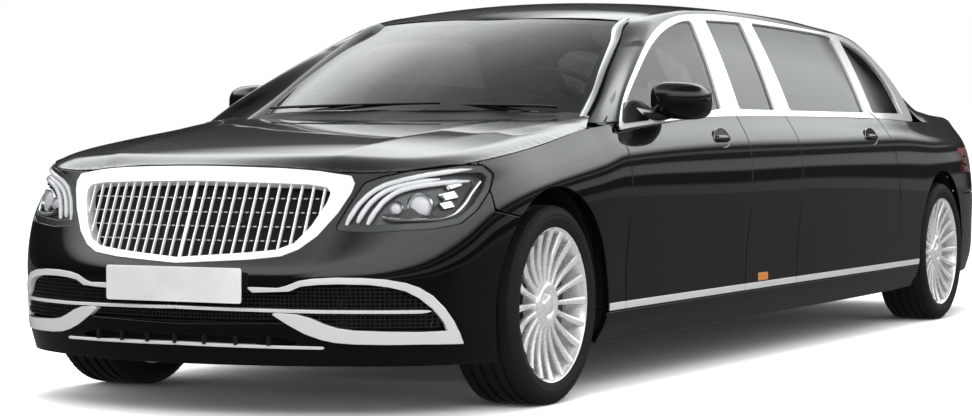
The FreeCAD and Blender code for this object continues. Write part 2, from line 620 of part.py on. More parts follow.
# ---------------------------------------------------------------- cabin frame behind the doors
def rail_slab(near, far):
    """The side of the frame between two depths behind the outer face."""
    sections = []
    for i, taper in SLAB:
        y = STATIONS[i][1]
        foot_x = side_x(BELT - 100) - taper
        top_x = side_x(SLAB_TOP) - taper
        sections.append([(foot_x - near, y, BELT - 100), (top_x - near, y, SLAB_TOP),
                         (top_x - far, y, SLAB_TOP), (foot_x - far, y, BELT - 100)])
    return loft(sections)


RAIL_DEPTH = 95.0


def band(points, drop, first, last):
    """Outline of a strip that hangs below a run of the frame's edge."""
    run = points[first:last + 1]
    return tuple(run) + tuple((y, z - drop) for y, z in reversed(run))


def side_frame():
    """Front post, roof rail, the posts behind the doors, and the sill, all on the left."""
    lip = rail_slab(0, RAIL_DEPTH).common(opening(band(tuple((y, z + 4) for y, z in FRAME_EDGE), 13, 1, 9)))
    rail = rail_slab(RAIL_INNER, RAIL_DEPTH).common(
        opening(band(tuple((y, z + 4) for y, z in FRAME_EDGE), 60, 1, 9)))
    rail = rail.cut(box(0, FAR, -FAR, FAR, 0, POST_TOP))
    pieces = [lip.fuse(rail)]
    foot = POST_TOP - 2
    post_b = ((D1E - 30, foot), (D1E + 55, foot), (D1E + 245, TOP_Z - 30), (D1E + 165, TOP_Z - 30))
    post_c = ((D2 - 60, foot), (D2 + 15, foot), (D2 + 160, TOP_Z - 35), (D2 + 85, TOP_Z - 30))
    post_d = ((D2E - 200, foot), (D2E - 135, foot), (D2E - 25, TOP_Z - 60), (D2E - 90, TOP_Z - 60))
    for outline in (post_b, post_c, post_d):
        pieces.append(rail_slab(RAIL_INNER, RAIL_DEPTH).common(opening(outline)))
    for y0, y1 in ((D1E - 60, D1E + 60), (D2 - 85, D2 + 40), (D2E - 200, D2E - 130)):
        pieces.append(box(POST_OUTER - 60, POST_OUTER, y0, y1, SILL_Z + 40, POST_TOP))
    pieces.append(box(POST_OUTER - 80, POST_OUTER, D1 - 60, D2E - 100, FLOOR_Z, SILL_Z + 42))
    pieces.append(box(POST_OUTER - 10, HALF_WIDTH - 70, D1 - 60, D2E - 100, FLOOR_Z, SILL_Z - SHUT_GAP))
    pieces.append(box(POST_OUTER - 10, HALF_WIDTH - DOOR_INNER + 20, D1E + 30, D2 - 60, 500, 560))
    pieces.append(box(POST_OUTER - 60, HALF_WIDTH - PANEL - 18, HINGE_Y - 40, HINGE_Y, SILL_Z, BELT - 110))
    return fuse(pieces[0], *pieces[1:])


def side_points(outline, lift):
    """Points of a side outline carried out to the frame's outer face."""
    points = []
    for y, z in outline:
        taper = table([(STATIONS[i][1], inset) for i, inset in SLAB], y)[0]
        points.append((side_x(z + lift) - taper, y, z + lift))
    return points


def edge_points(foot, top, shares):
    return [tuple(V(*foot) + (V(*top) - V(*foot)) * share) for share in shares]


def between(outer, inner, offsets):
    """Loft upright sections, each from a point on the side frame to one on a pane's edge.

    Columns of offsets: 0 to measure from the outer point or 1 from the inner, run inward, rise.
    """
    sections = []
    for o, i in zip(outer, inner):
        o, i = V(*o), V(*i)
        across = V(i.x - o.x, i.y - o.y, 0).normalize()
        row = [(i if end else o) + across * run + Z_AXIS * rise for end, run, rise in offsets]
        sections.append([tuple(point) for point in row])
    return loft(sections)


def front_post():
    """Post beside the windscreen, from the side frame's lip over to the glass."""
    outer = side_points(FRAME_EDGE[1:5], 4)
    inner = edge_points(WIND_FOOT[0], WIND_TOP[0], (0.0, 0.33, 0.66, 1.0))
    lip = FRAME + SHUT_GAP + 2
    return between(outer, inner, ((0, 6, -1), (0, lip + 8, -1), (1, 0, 0), (1, 0, -45),
                                  (0, lip + 8, -70), (0, lip, -12), (0, 6, -12)))


def rear_post_fill():
    """Post between the side frame and the rear window."""
    outer = side_points(REAR_POST[1:5], 0)
    inner = edge_points(BACK_TOP[0], BACK_FOOT[0], (0.0, 0.3, 0.65, 1.0))
    return between(outer, inner, ((0, 0, 0), (1, 0, 0), (1, 0, -40), (0, FRAME, -40)))


frame_left = side_frame().fuse(front_post())
roof = roof_slab(ROOF_THICK)
windscreen = pane(WIND_FOOT, WIND_TOP, GLASS)
rear_window = pane(BACK_FOOT, BACK_TOP, GLASS)
left_door = front_door()
left_rear_door = rear_door()
left_quarter = rear_quarter(rear_bumper_block, tail_lamps_cutter, lid_hole, rear_window)
left_fender = front_fender(lamps_cutter, bumper_block, hood_cutter)
left_centre = centre_panel()
roof = roof.cut(frame_left).cut(mirrored(frame_left)).cut(left_quarter).cut(mirrored(left_quarter))
roof = roof.cut(slab).cut(mirrored(slab)).cut(windscreen).cut(rear_window)
deck_sides = largest(deck_sides.cut(left_quarter).cut(mirrored(left_quarter)).cut(rear_window))
frame_left = frame_left.cut(left_centre).cut(left_quarter).cut(windscreen)

# ---------------------------------------------------------------- lower body and running gear
ROCKER_THICK = 45.0


def rocker():
    """Cover under the doors between the wheel arches."""
    sections = []
    for i in range(AT_DOOR_1 - 1, AT_DOOR_1 + 5):
        y = STATIONS[i][1]
        foot_x, _, foot_z = skin(i, FOOT)
        sill_x = skin(i, SILL)[0]
        top = SILL_Z - SHUT_GAP
        sections.append([(foot_x, y, foot_z), (sill_x, y, top), (sill_x - ROCKER_THICK, y, top),
                         (foot_x - ROCKER_THICK, y, foot_z)])
    return loft(sections).cut(arch(FRONT_AXLE_Y)).cut(arch(REAR_AXLE_Y))


PAN_X = HALF_WIDTH - DOOR_INNER - SHUT_GAP - 90     # floor plate, up to the inner sills
FIREWALL_Y = DOOR_1_Y - 40
WELL_X = 560.0              # inner wall of the rear wheel wells
WELL_RADIUS = ARCH_RADIUS + 32
BOOT_FLOOR_Z = 480.0
STEER_X = 480.0             # inner walls of the front wheel wells
SEAT_BACK_Y = REAR_AXLE_Y - 420
SHELF_Z = BELT - 20
BOOT_END_Y = TAIL_Y - 250


def hinge_posts(span, y0, y1, z0, z1):
    """The pair of blocks that carry the hinges of the hood or of the boot lid."""
    posts = []
    for side in (-1, 1):
        xs = sorted((side * span[0], side * span[1]))
        posts.append(box(*xs, y0, y1, z0, z1))
    return posts


STEP_Y = REAR_AXLE_Y - 440  # where the floor steps up over the rear axle


def floor_pan():
    """Cabin floor with its tunnel."""
    plate_front = box(-PAN_X, PAN_X, FIREWALL_Y, STEP_Y, FLOOR_Z, FLOOR_Z + FLOOR_PLATE)
    tunnel = box(-130, 130, FIREWALL_Y, STEP_Y, FLOOR_Z + FLOOR_PLATE, FLOOR_Z + 150)
    return fuse(plate_front, tunnel)


def firewall():
    """Wall between the engine and the cabin, with the hood's hinge posts."""
    low = box(-PAN_X - 20, PAN_X + 20, FIREWALL_Y - 30, FIREWALL_Y, FLOOR_Z, BELT - 125)
    high = box(-600, 600, FIREWALL_Y - 30, FIREWALL_Y, BELT - 125, BELT - 40)
    posts = hinge_posts(HOOD_HINGE_X, FIREWALL_Y - 10, FIREWALL_Y + 35, 820, HOOD_LUG_Z - HINGE_GAP)
    return fuse(low, high, *posts)


def boot_floor():
    """Rear bulkhead with its shelf, the raised boot floor, tail panel and rear crossbeam."""
    step = box(-PAN_X, PAN_X, STEP_Y, STEP_Y + 30, FLOOR_Z, BOOT_FLOOR_Z)
    boot = box(-WELL_X, WELL_X, STEP_Y + 30, BOOT_END_Y, BOOT_FLOOR_Z - 30, BOOT_FLOOR_Z)
    back = box(-WELL_X, WELL_X, SEAT_BACK_Y + 30, SEAT_BACK_Y + 60, BOOT_FLOOR_Z, SHELF_Z)
    shelf = box(-620, 620, SEAT_BACK_Y + 30, REAR_AXLE_Y + 130, SHELF_Z, SHELF_Z + 14)
    tail_panel = box(-500, 500, BOOT_END_Y - 20, BOOT_END_Y, 360, 620)
    beam = box(-380, 380, BOOT_END_Y, TAIL_Y - 25, 500, 560)
    posts = hinge_posts(LID_HINGE_X, REAR_AXLE_Y + 110, LID_FRONT_Y + 70, SHELF_Z - 20,
                        LID_LUG_Z - HINGE_GAP)
    return fuse(step, boot, back, shelf, tail_panel, beam, *posts)


def front_frame():
    """Chassis legs, strut towers, radiator support and the crossbeam behind the bumper."""
    parts = []
    for s in (-1, 1):
        xs = sorted((s * 400, s * 470))
        parts.append(box(*xs, NOSE_Y + 190, FIREWALL_Y - 30, 400, 520))
        xs = sorted((s * 470, s * 700))
        parts.append(box(*xs, FRONT_AXLE_Y - 80, FRONT_AXLE_Y + 80, 790, 820))
        xs = sorted((s * 440, s * 470))
        parts.append(box(*xs, FRONT_AXLE_Y - 330, FIREWALL_Y - 30, 520, 820))
        xs = sorted((s * 470, s * 845))
        parts.append(box(*xs, FRONT_AXLE_Y - 470, FRONT_AXLE_Y - 445, 420, 745))
        parts.append(box(*xs, FIREWALL_Y - 60, FIREWALL_Y - 30, 300, 800))
    # the radiator support is narrow up high, where the nose curves back past it
    parts.append(box(-560, 560, NOSE_Y + 160, NOSE_Y + 190, 250, 520))
    parts.append(box(-350, 350, NOSE_Y + 160, NOSE_Y + 190, 250, 700))
    parts.append(box(-260, 260, NOSE_Y + 50, NOSE_Y + 160, 420, 490))
    return fuse(parts[0], *parts[1:])


def liner(axle_y, inner_x, outer_x):
    """The shell over one wheel, open below."""
    centre = V(inner_x, axle_y, TYRE_RADIUS)
    shell = Part.makeCylinder(WELL_RADIUS, outer_x - inner_x, centre, X_AXIS)
    hollow = Part.makeCylinder(WELL_RADIUS - 8, outer_x - inner_x, centre, X_AXIS)
    keep = box(inner_x, outer_x, axle_y - 600, axle_y + 600, TYRE_RADIUS - 30, 1200)
    return shell.cut(hollow).common(keep)


def ring(r_out, r_in, x0, x1, y, z):
    body = Part.makeCylinder(r_out, x1 - x0, V(x0, y, z), X_AXIS)
    return body.cut(Part.makeCylinder(r_in, x1 - x0, V(x0, y, z), X_AXIS)) if r_in else body


def lathe(profile, axle_y):
    """A (radius, x) profile turned about a wheel's axle."""
    face = Part.Face(polygon([(x, axle_y, TYRE_RADIUS + r) for r, x in profile]))
    return face.revolve(V(0, axle_y, TYRE_RADIUS), X_AXIS, 360)


RIM_OUT = WHEEL_X + RIM_WIDTH / 2 - 4
RIM_IN = WHEEL_X - RIM_WIDTH / 2
HUB_RADIUS = 74.0
DISC_RADIUS, DISC_THICK = RIM_RADIUS - 84.0, 30.0
DISC_X = WHEEL_X - 22
BEARING_GAP = 0.5
SPOKES = 20


def tyre(axle_y):
    half = TYRE_WIDTH / 2
    bead_in, bead_out = RIM_IN + 8.5, RIM_OUT - 6.5
    seat_radius = RIM_RADIUS - 13.7
    profile = (
        (seat_radius, bead_in), (RIM_RADIUS + 2, bead_in), (RIM_RADIUS + 18, WHEEL_X - half + 2),
        (TYRE_RADIUS - 32, WHEEL_X - half), (TYRE_RADIUS - 9, WHEEL_X - half + 14),
        (TYRE_RADIUS, WHEEL_X - half + 36), (TYRE_RADIUS, WHEEL_X + half - 36),
        (TYRE_RADIUS - 9, WHEEL_X + half - 14), (TYRE_RADIUS - 32, WHEEL_X + half),
        (RIM_RADIUS + 18, WHEEL_X + half - 2), (RIM_RADIUS + 2, bead_out), (seat_radius, bead_out),
    )
    return lathe(profile, axle_y)


def rim(axle_y):
    """Barrel with its lips, spokes and hub, and the brake disc bolted behind the hub."""
    r = RIM_RADIUS
    barrel = lathe((
        (r - 24, RIM_IN), (r, RIM_IN), (r, RIM_IN + 6), (r - 14, RIM_IN + 8), (r - 14, RIM_OUT - 6),
        (r, RIM_OUT - 4), (r, RIM_OUT + 2), (r - 24, RIM_OUT + 2)), axle_y)
    hub = ring(HUB_RADIUS, 0, DISC_X + DISC_THICK, RIM_OUT - 14, axle_y, TYRE_RADIUS)
    disc = ring(DISC_RADIUS, 0, DISC_X, DISC_X + DISC_THICK, axle_y, TYRE_RADIUS)
    spokes = []
    for n in range(SPOKES):
        ends = []
        for out, half, z in ((RIM_OUT - 22, 9, TYRE_RADIUS + HUB_RADIUS - 8),
                             (RIM_OUT - 6, 11, TYRE_RADIUS + r - 16)):
            y0, y1 = axle_y - half, axle_y + half
            ends.append([(out - 30, y0, z), (out, y0, z), (out, y1, z), (out - 30, y1, z)])
        spoke = loft(ends)
        spoke.rotate(V(0, axle_y, TYRE_RADIUS), X_AXIS, n * 360.0 / SPOKES)
        spokes.append(spoke)
    return barrel.multiFuse([hub, disc] + spokes)


def caliper(axle_y, side):
    """Brake caliper over the disc, ahead of or behind the axle."""
    face_in, face_out = DISC_X - 34, DISC_X + DISC_THICK + 22
    shell = ring(RIM_RADIUS - 36, DISC_RADIUS - 55, face_in, face_out, axle_y, TYRE_RADIUS)
    slot = ring(DISC_RADIUS + 6, 0, DISC_X - 5, DISC_X + DISC_THICK + 5, axle_y, TYRE_RADIUS)
    ys = sorted((axle_y, axle_y + side * 400))
    return shell.cut(slot).common(box(0, 2000, *ys, TYRE_RADIUS - 90, TYRE_RADIUS + 90))


KING_X = 735.0              # steering axis of a front wheel
KNUCKLE_FOOT, KNUCKLE_TOP = -110.0, 130.0    # ball joints below and above the axle
ENGINE_FOOT_Z = 300.0


def knuckle():
    """Front left: stub to the wheel bearing, the upright with its ball joints, and the caliper."""
    y, z = FRONT_AXLE_Y, TYRE_RADIUS
    stub = ring(62, 0, KING_X - 25, DISC_X - BEARING_GAP, y, z)
    upright = box(KING_X - 25, KING_X + 25, y - 42, y + 42, z + KNUCKLE_FOOT, z + KNUCKLE_TOP)
    arm = box(KING_X - 20, KING_X + 20, y + 42, y + 205, z - 30, z)
    carrier = box(KING_X, DISC_X - 34, y + 42, y + 185, z - 30, z + 30)
    return fuse(stub, upright, arm, carrier, caliper(y, 1))


def front_axle():
    """Crossmember with its lower arms and the steering rack."""
    y, z = FRONT_AXLE_Y, TYRE_RADIUS
    beam = box(-430, 430, y - 120, y + 160, 195, 255)
    posts = [box(s * 430 - 35, s * 430 + 35, y - 60, y + 60, 255, 400) for s in (-1, 1)]
    arms = []
    for s in (-1, 1):
        low_xs = sorted((s * 430, s * KING_X))
        high_xs = sorted((s * 470, s * KING_X))
        top_of_arm = z + KNUCKLE_FOOT - BEARING_GAP
        arms.append(box(*low_xs, y - 35, y + 35, top_of_arm - 30, top_of_arm))
        foot_of_arm = z + KNUCKLE_TOP + BEARING_GAP
        arms.append(box(*high_xs, y - 30, y + 30, foot_of_arm, foot_of_arm + 25))
    rack = box(-400, 400, y + 180, y + 220, 235, 280)
    lugs = [box(s * 370 - 20, s * 370 + 20, y + 140, y + 180, 225, 280) for s in (-1, 1)]
    feet = [box(s * 290 - 40, s * 290 + 40, y - 60, y + 60, 255, ENGINE_FOOT_Z) for s in (-1, 1)]
    return fuse(beam, rack, *(posts + arms + lugs + feet))


def rear_axle():
    """Crossmember with its final drive, arms and drive shafts, and the rear calipers."""
    y, z = REAR_AXLE_Y, TYRE_RADIUS
    beam = box(-520, 520, y - 90, y + 90, 300, 360)
    drive = ring(105, 0, -150, 150, y, z)
    mounts = [box(s * 480 - 40, s * 480 + 40, y - 90, y + 90, 360, BOOT_FLOOR_Z - 30) for s in (-1, 1)]
    sides = []
    for s in (-1, 1):
        shaft = rod((s * 140, y, z), (s * (DISC_X - BEARING_GAP), y, z), 34)
        carrier = box(*sorted((s * 660, s * (DISC_X - 40))), y - 50, y + 50, z - 90, z + 90)
        lower = box(*sorted((s * 500, s * 680)), y - 40, y + 40, 260, 300)
        grip = caliper(y, -1)
        foot = box(DISC_X - 70, DISC_X - 34, y - 185, y - 40, z - 30, z + 30)
        pair = grip.fuse(foot)
        sides += [shaft, carrier, lower, pair if s > 0 else mirrored(pair)]
    return fuse(beam, drive, *(mounts + sides))


# ---------------------------------------------------------------- cabin
SEAT_X = 385.0
CUSHION_Z = FLOOR_Z + FLOOR_PLATE + 120
FRONT_SEAT_Y = DOOR_1_END - 390
REAR_SEAT_Y = SEAT_BACK_Y - 500
SEAT_WIDTH = 520.0


def seat(x, y, facing, width=SEAT_WIDTH, headrest=True):
    """Base, cushion, back and headrest; facing is -1 towards the nose."""
    w = width / 2
    f = facing

    def side_block(outline, half):
        return prism_x(tuple((y + f * a, z) for a, z in outline), x - half, x + half)

    floor = FLOOR_Z + FLOOR_PLATE
    base = side_block(((-230, floor), (230, floor), (230, CUSHION_Z), (-230, CUSHION_Z)), w - 60)
    cushion = side_block(((-260, CUSHION_Z), (270, CUSHION_Z), (285, CUSHION_Z + 90), (250, CUSHION_Z + 130),
                          (-260, CUSHION_Z + 100)), w)
    back = side_block(((-170, CUSHION_Z + 100), (-290, CUSHION_Z + 60), (-410, CUSHION_Z + 600),
                       (-370, CUSHION_Z + 640), (-310, CUSHION_Z + 620)), w - 10)
    parts = [base, cushion, back]
    if headrest:
        parts.append(side_block(((-315, CUSHION_Z + 615), (-405, CUSHION_Z + 600), (-420, CUSHION_Z + 790),
                                 (-370, CUSHION_Z + 810), (-325, CUSHION_Z + 790)), 140))
    return fuse(*parts)


def dashboard():
    """Main body of the dash across the cabin, with its hood over the dials."""
    y = DOOR_1_Y
    body = prism_x(((y + 20, BELT - 110), (y + 170, BELT - 50), (y + 420, BELT - 60), (y + 480, BELT - 130),
                    (y + 400, BELT - 330), (y - 38, BELT - 330)), -700, 700)
    console = box(-120, 120, y + 300, y + 1000, FLOOR_Z + 150, BELT - 380)
    stack = box(-120, 120, y + 300, y + 400, BELT - 390, BELT - 320)
    side = box(-PAN_X - 20, PAN_X + 20, y - 38, y + 60, BELT - 330, BELT - 230)
    return fuse(body, console, stack, side)


COLUMN_TILT = math.radians(22)
WHEEL_CENTRE = (SEAT_X, DOOR_1_Y + 600, BELT - 110)
HAND_RADIUS = 188.0


def steering_wheel():
    """Rim, hub and three spokes on a column that tilts up towards the driver."""
    rim_ring = Part.makeTorus(HAND_RADIUS, 15)
    hub = Part.makeCylinder(62, 46, V(0, 0, -34))
    first = box(-15, 15, 40, HAND_RADIUS, -18, 0)
    parts = [hub]
    for turn in (90, 180, 270):
        spoke = first.copy()
        spoke.rotate(V(0, 0, 0), Z_AXIS, turn)
        parts.append(spoke)
    wheel = rim_ring.multiFuse(parts)
    wheel.rotate(V(0, 0, 0), X_AXIS, -90 + math.degrees(COLUMN_TILT))
    wheel.translate(V(*WHEEL_CENTRE))
    return wheel


def column():
    c, s = math.cos(COLUMN_TILT), math.sin(COLUMN_TILT)
    x, y, z = WHEEL_CENTRE
    back = 34 + BEARING_GAP
    start = (x, y - back * c, z - back * s)
    end = (x, y - 260 * c, z - 260 * s)
    return rod(end, start, 42)


def cowl():
    """Panel between the hood and the foot of the windscreen."""
    rows = ((0, -2, 958), (400, 33, 956), (640, 130, 962), (714, 214, 966))
    left = []
    for (x, dy, z), foot in zip(rows, (WIND_FOOT[2], WIND_FOOT[1], None, WIND_FOOT[0])):
        fx, fy, fz = foot if foot else (640, DOOR_1_Y + 105, BELT + 1)
        front = (x, DOOR_1_Y - 200 + dy, z)
        left.append([front, (fx, fy - 2, fz - 2), (fx, fy - 2, fz - 40), (x, front[1], z - 30)])
    right = [[(-x, y, z) for x, y, z in row] for row in reversed(left[1:])]
    return loft(right + left)


def engine():
    return box(-330, 330, FRONT_AXLE_Y - 330, FRONT_AXLE_Y + 380, ENGINE_FOOT_Z, 800)


def exhaust():
    parts = []
    for s in (-1, 1):
        pipe = rod((s * 300, REAR_AXLE_Y + 200, 330), (s * 300, REAR_AXLE_Y + 640, 330), 30)
        box_x = sorted((s * 150, s * 500))
        silencer = box(*box_x, REAR_AXLE_Y + 640, BOOT_END_Y - 30, 250, BOOT_FLOOR_Z - 30)
        tip = box(*sorted((s * 420, s * 480)), BOOT_END_Y - 30, BOOT_END_Y + 100, 250, 320)
        parts.append(fuse(pipe, silencer, tip))
    return parts


rocker_left = rocker()
front_wheel = tyre(FRONT_AXLE_Y), rim(FRONT_AXLE_Y)
rear_wheel = tyre(REAR_AXLE_Y), rim(REAR_AXLE_Y)
left_knuckle = knuckle()
left_fender = left_fender.cut(rocker_left)
left_quarter = left_quarter.cut(rocker_left)
frame_left = frame_left.cut(rocker_left).cut(left_fender)
cowl_shape = largest(cowl().cut(frame_left).cut(mirrored(frame_left)).cut(windscreen))
floors = []
for piece in (floor_pan(), firewall(), boot_floor()):
    for fixed in (cowl_shape, deck_sides, windscreen, rear_bumper, frame_left, mirrored(frame_left),
                  left_quarter, mirrored(left_quarter)):
        piece = piece.cut(fixed)
    floors.append(largest(piece))
grille = radiator_grille()
lamps = nose_wall((WAIST, SHOULDER, EDGE), LAMP_DEPTH).common(lamps_cutter)
lamps = lamps.cut(front_bumper).cut(grille)
legs = front_frame()
dash = dashboard().cut(frame_left).cut(mirrored(frame_left))
for piece in floors:
    dash = dash.cut(piece)
for fixed in (front_bumper, grille, lamps, left_fender, mirrored(left_fender), frame_left,
              mirrored(frame_left)):
    legs = legs.cut(fixed)
liners = []
for axle_y, inner_x in ((FRONT_AXLE_Y, STEER_X), (REAR_AXLE_Y, WELL_X)):
    one = liner(axle_y, inner_x, HALF_WIDTH - PANEL - 10)
    for fixed in (left_fender, left_quarter, legs, *floors, frame_left, rocker_left, front_bumper,
                  rear_bumper, hood):
        one = one.cut(fixed)
    liners += [largest(one), mirrored(largest(one))]

wheels = (("front_left", front_wheel, False), ("front_right", front_wheel, True),
          ("rear_left", rear_wheel, False), ("rear_right", rear_wheel, True))
for name, (rubber, metal), flip in wheels:
    save(name + "_tyre", mirrored(rubber) if flip else rubber)
    save(name + "_rim", mirrored(metal) if flip else metal)
save("front_left_knuckle", left_knuckle)
save("front_right_knuckle", mirrored(left_knuckle))
save("front_axle", front_axle())
save("rear_axle", rear_axle())
save("wheel_liners", *liners)
for name, piece in zip(("floor_pan", "firewall", "boot_floor"), floors):
    save(name, piece)
save("front_frame", largest(legs))
save("rocker_covers", *both(rocker_left))
save("cowl_panel", cowl_shape)
save("engine_block", engine())
save("exhaust", *exhaust())
save("dashboard", dash.fuse(column()))
save("steering_wheel", steering_wheel())
save("front_seats", *[seat(x, FRONT_SEAT_Y, -1) for x in (-SEAT_X, SEAT_X)])
save("rear_seats", *([seat(x, REAR_SEAT_Y, -1) for x in (-SEAT_X, SEAT_X)]
                     + [seat(x, DOOR_1_END + 560, 1, SEAT_WIDTH - 40) for x in (-SEAT_X, SEAT_X)]))
save("number_plates", plate(NOSE_Y, FRONT_PLATE_Z, -1), plate(TAIL_Y, REAR_PLATE_Z, 1))
save("front_left_door", left_door)
save("front_right_door", mirrored(left_door))
save("rear_left_door", left_rear_door)
save("rear_right_door", mirrored(left_rear_door))
for side, flip in (("left", False), ("right", True)):
    pane_1, pane_2 = window(FRONT_GLASS), window(REAR_GLASS)
    save("front_%s_door_glass" % side, mirrored(pane_1) if flip else pane_1)
    save("rear_%s_door_glass" % side, mirrored(pane_2) if flip else pane_2)
    mirror = largest(door_mirror().cut(left_door))
    save("%s_mirror" % side, mirrored(mirror) if flip else mirror)
save("side_glass", *both(window(BAY_GLASS)), *both(window(QUARTER_GLASS)))
save("centre_panels", *both(left_centre))
save("front_fenders", *both(left_fender))
save("rear_quarters", *both(left_quarter))
save("front_bumper", front_bumper)
save("rear_bumper", rear_bumper)
save("radiator_grille", grille)
save("headlamps", *lamps.Solids)
save("tail_lamps", *tail_lamp.Solids)
save("hood", hood)
save("boot_lid", boot_lid)
save("rear_deck", deck_sides)
save("roof_panel", largest(roof))
save("windscreen", windscreen)
save("rear_window", rear_window)
save("cabin_frame", *both(frame_left))
print(len(saved), "files")
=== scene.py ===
"""Looks of the stretched limousine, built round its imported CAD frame.  Metres, +Z up, nose at -Y."""
import math
import bpy
import bmesh
import numpy as np
from mathutils import Vector, Matrix


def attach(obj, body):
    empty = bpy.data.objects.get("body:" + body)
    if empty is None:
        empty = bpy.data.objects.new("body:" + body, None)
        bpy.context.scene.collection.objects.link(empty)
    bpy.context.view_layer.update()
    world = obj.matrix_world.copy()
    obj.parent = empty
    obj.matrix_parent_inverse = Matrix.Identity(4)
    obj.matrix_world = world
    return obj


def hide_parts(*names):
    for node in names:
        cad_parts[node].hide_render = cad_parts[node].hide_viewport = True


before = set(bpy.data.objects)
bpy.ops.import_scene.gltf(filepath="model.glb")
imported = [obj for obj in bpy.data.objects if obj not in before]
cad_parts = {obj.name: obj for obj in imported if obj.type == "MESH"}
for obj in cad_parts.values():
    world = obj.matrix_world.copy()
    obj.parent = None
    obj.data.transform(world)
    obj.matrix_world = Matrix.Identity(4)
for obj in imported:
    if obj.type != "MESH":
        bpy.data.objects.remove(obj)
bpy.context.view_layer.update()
pi = math.pi


# ---------------------------------------------------------------- curves
def lengths(p):
    """Distance along a line at each of its points."""
    return np.concatenate([[0], np.cumsum(np.linalg.norm(np.diff(p, axis=0), axis=1))])


def ring_of(n):
    """n angles round a circle."""
    return np.linspace(0, 2 * pi, n, endpoint=False)


def pchip_slopes(x, y):
    """Slopes that keep a table's curve from overshooting."""
    h, d = np.diff(x), np.diff(y, axis=0) / np.diff(x)[:, None]
    m = np.zeros_like(y)
    for k in range(1, len(x) - 1):
        a, b = d[k - 1], d[k]
        w1, w2 = 2 * h[k] + h[k - 1], h[k] + 2 * h[k - 1]
        ok = a * b > 0
        m[k] = np.where(ok, (w1 + w2) / (w1 / np.where(ok, a, 1) + w2 / np.where(ok, b, 1)), 0)
    return m


def clamped_slopes(x, y, first, last):
    """Slopes of the smooth cubic through a table with given end slopes."""
    n, h = len(x), np.diff(x)
    a, b = np.eye(n), np.array(y, float)
    for k in range(1, n - 1):
        a[k, k - 1:k + 2] = 1 / h[k - 1], 2 * (1 / h[k - 1] + 1 / h[k]), 1 / h[k]
        b[k] = 3 * ((y[k] - y[k - 1]) / h[k - 1] ** 2 + (y[k + 1] - y[k]) / h[k] ** 2)
    b[0], b[-1] = first, last
    return np.linalg.solve(a, b)


def hermite(x, y, m, t):
    """Values at t of the cubic through y at x with slopes m."""
    t = np.asarray(t, float)
    k = np.clip(np.searchsorted(x, t) - 1, 0, len(x) - 2)
    h = (x[k + 1] - x[k])[:, None]
    s = (t - x[k])[:, None] / h
    return ((2 * s ** 3 - 3 * s ** 2 + 1) * y[k] + (s ** 3 - 2 * s ** 2 + s) * h * m[k]
        + (3 * s ** 2 - 2 * s ** 3) * y[k + 1] + (s ** 3 - s ** 2) * h * m[k + 1])


def table(rows):
    """A function that reads a table of (key, values...) smoothly."""
    r = np.array(rows, float)
    m = pchip_slopes(r[:, 0], r[:, 1:])
    return lambda t: hermite(r[:, 0], r[:, 1:], m, np.clip(t, r[0, 0], r[-1, 0]))


def spline(points, n):
    """n points, evenly spaced, on a smooth curve through some points."""
    p = np.array(points, float)
    if len(p) == 2:
        return p[0] + (p[1] - p[0]) * np.linspace(0, 1, n)[:, None]
    s = lengths(p)
    d = np.diff(p, axis=0) / np.diff(s)[:, None]
    m = clamped_slopes(s, p, 1.5 * d[0] - 0.5 * d[1], 1.5 * d[-1] - 0.5 * d[-2])
    fine = hermite(s, p, m, np.linspace(0, s[-1], max(n * 4, 60)))
    return resample(fine, n)


def resample(p, n):
    """n points evenly spaced along a line."""
    s = lengths(p)
    t = np.linspace(0, s[-1], n)
    return np.stack([np.interp(t, s, p[:, k]) for k in range(p.shape[1])], 1)


def fillet(p, radius, sharp=20, n=7):
    """Rounds the sharp corners of a closed outline."""
    p = [np.array(q, float) for q in p]
    out, size, corner = [], len(p), []
    for i in range(size):
        a, b = p[i] - p[i - 1], p[(i + 1) % size] - p[i]
        turn = math.degrees(abs(math.atan2(a[0] * b[1] - a[1] * b[0], float(a @ b))))
        corner.append(turn if turn > sharp else 0)
    reach = {i: radius * math.tan(math.radians(min(corner[i], 150) / 2)) for i in range(size) if corner[i]}

    def walk(j, step, left):
        """The point that far along the outline from a corner."""
        at = p[j]
        while True:
            j = (j + step) % size
            d = np.linalg.norm(p[j] - at)
            if d >= left or j in reach:
                # two corners near each other share the line between them
                most = 0.48 if j in reach and d < left * 2 else 1.0
                return at + (p[j] - at) * min(left / max(d, 1e-9), most)
            left -= d
            at = p[j]

    for i in range(size):
        if i in reach:
            a, b = walk(i, -1, reach[i]), walk(i, 1, reach[i])
            for t in np.linspace(0, 1, n):
                out.append(a * (1 - t) ** 2 + 2 * p[i] * t * (1 - t) + b * t * t)
        elif all(np.linalg.norm(p[i] - p[k]) > reach[k] for k in reach):
            out.append(p[i])
    return np.array(out)


def signed(outline):
    """Distance into a closed outline, in (a, b) coordinates; negative outside."""
    a = np.array(outline, float)
    b = np.roll(a, -1, axis=0)

    def f(u, v):
        best, inside = np.full(len(u), 1e9), np.zeros(len(u), bool)
        for (x0, y0), (x1, y1) in zip(a, b):
            dx, dy = x1 - x0, y1 - y0
            t = np.clip(((u - x0) * dx + (v - y0) * dy) / max(dx * dx + dy * dy, 1e-12), 0, 1)
            best = np.minimum(best, (u - x0 - t * dx) ** 2 + (v - y0 - t * dy) ** 2)
            if y0 != y1:
                cross = ((y0 > v) != (y1 > v)) & (u < dx * (v - y0) / dy + x0)
                inside ^= cross
        return np.where(inside, 1, -1) * np.sqrt(best)
    return f


def view(axes):
    """Makes tests of how far points lie inside an outline drawn in one view; negative outside."""
    def test(outline, grow=0.0):
        f = signed(outline)
        return lambda p: f(*axes(p)) + grow
    return test


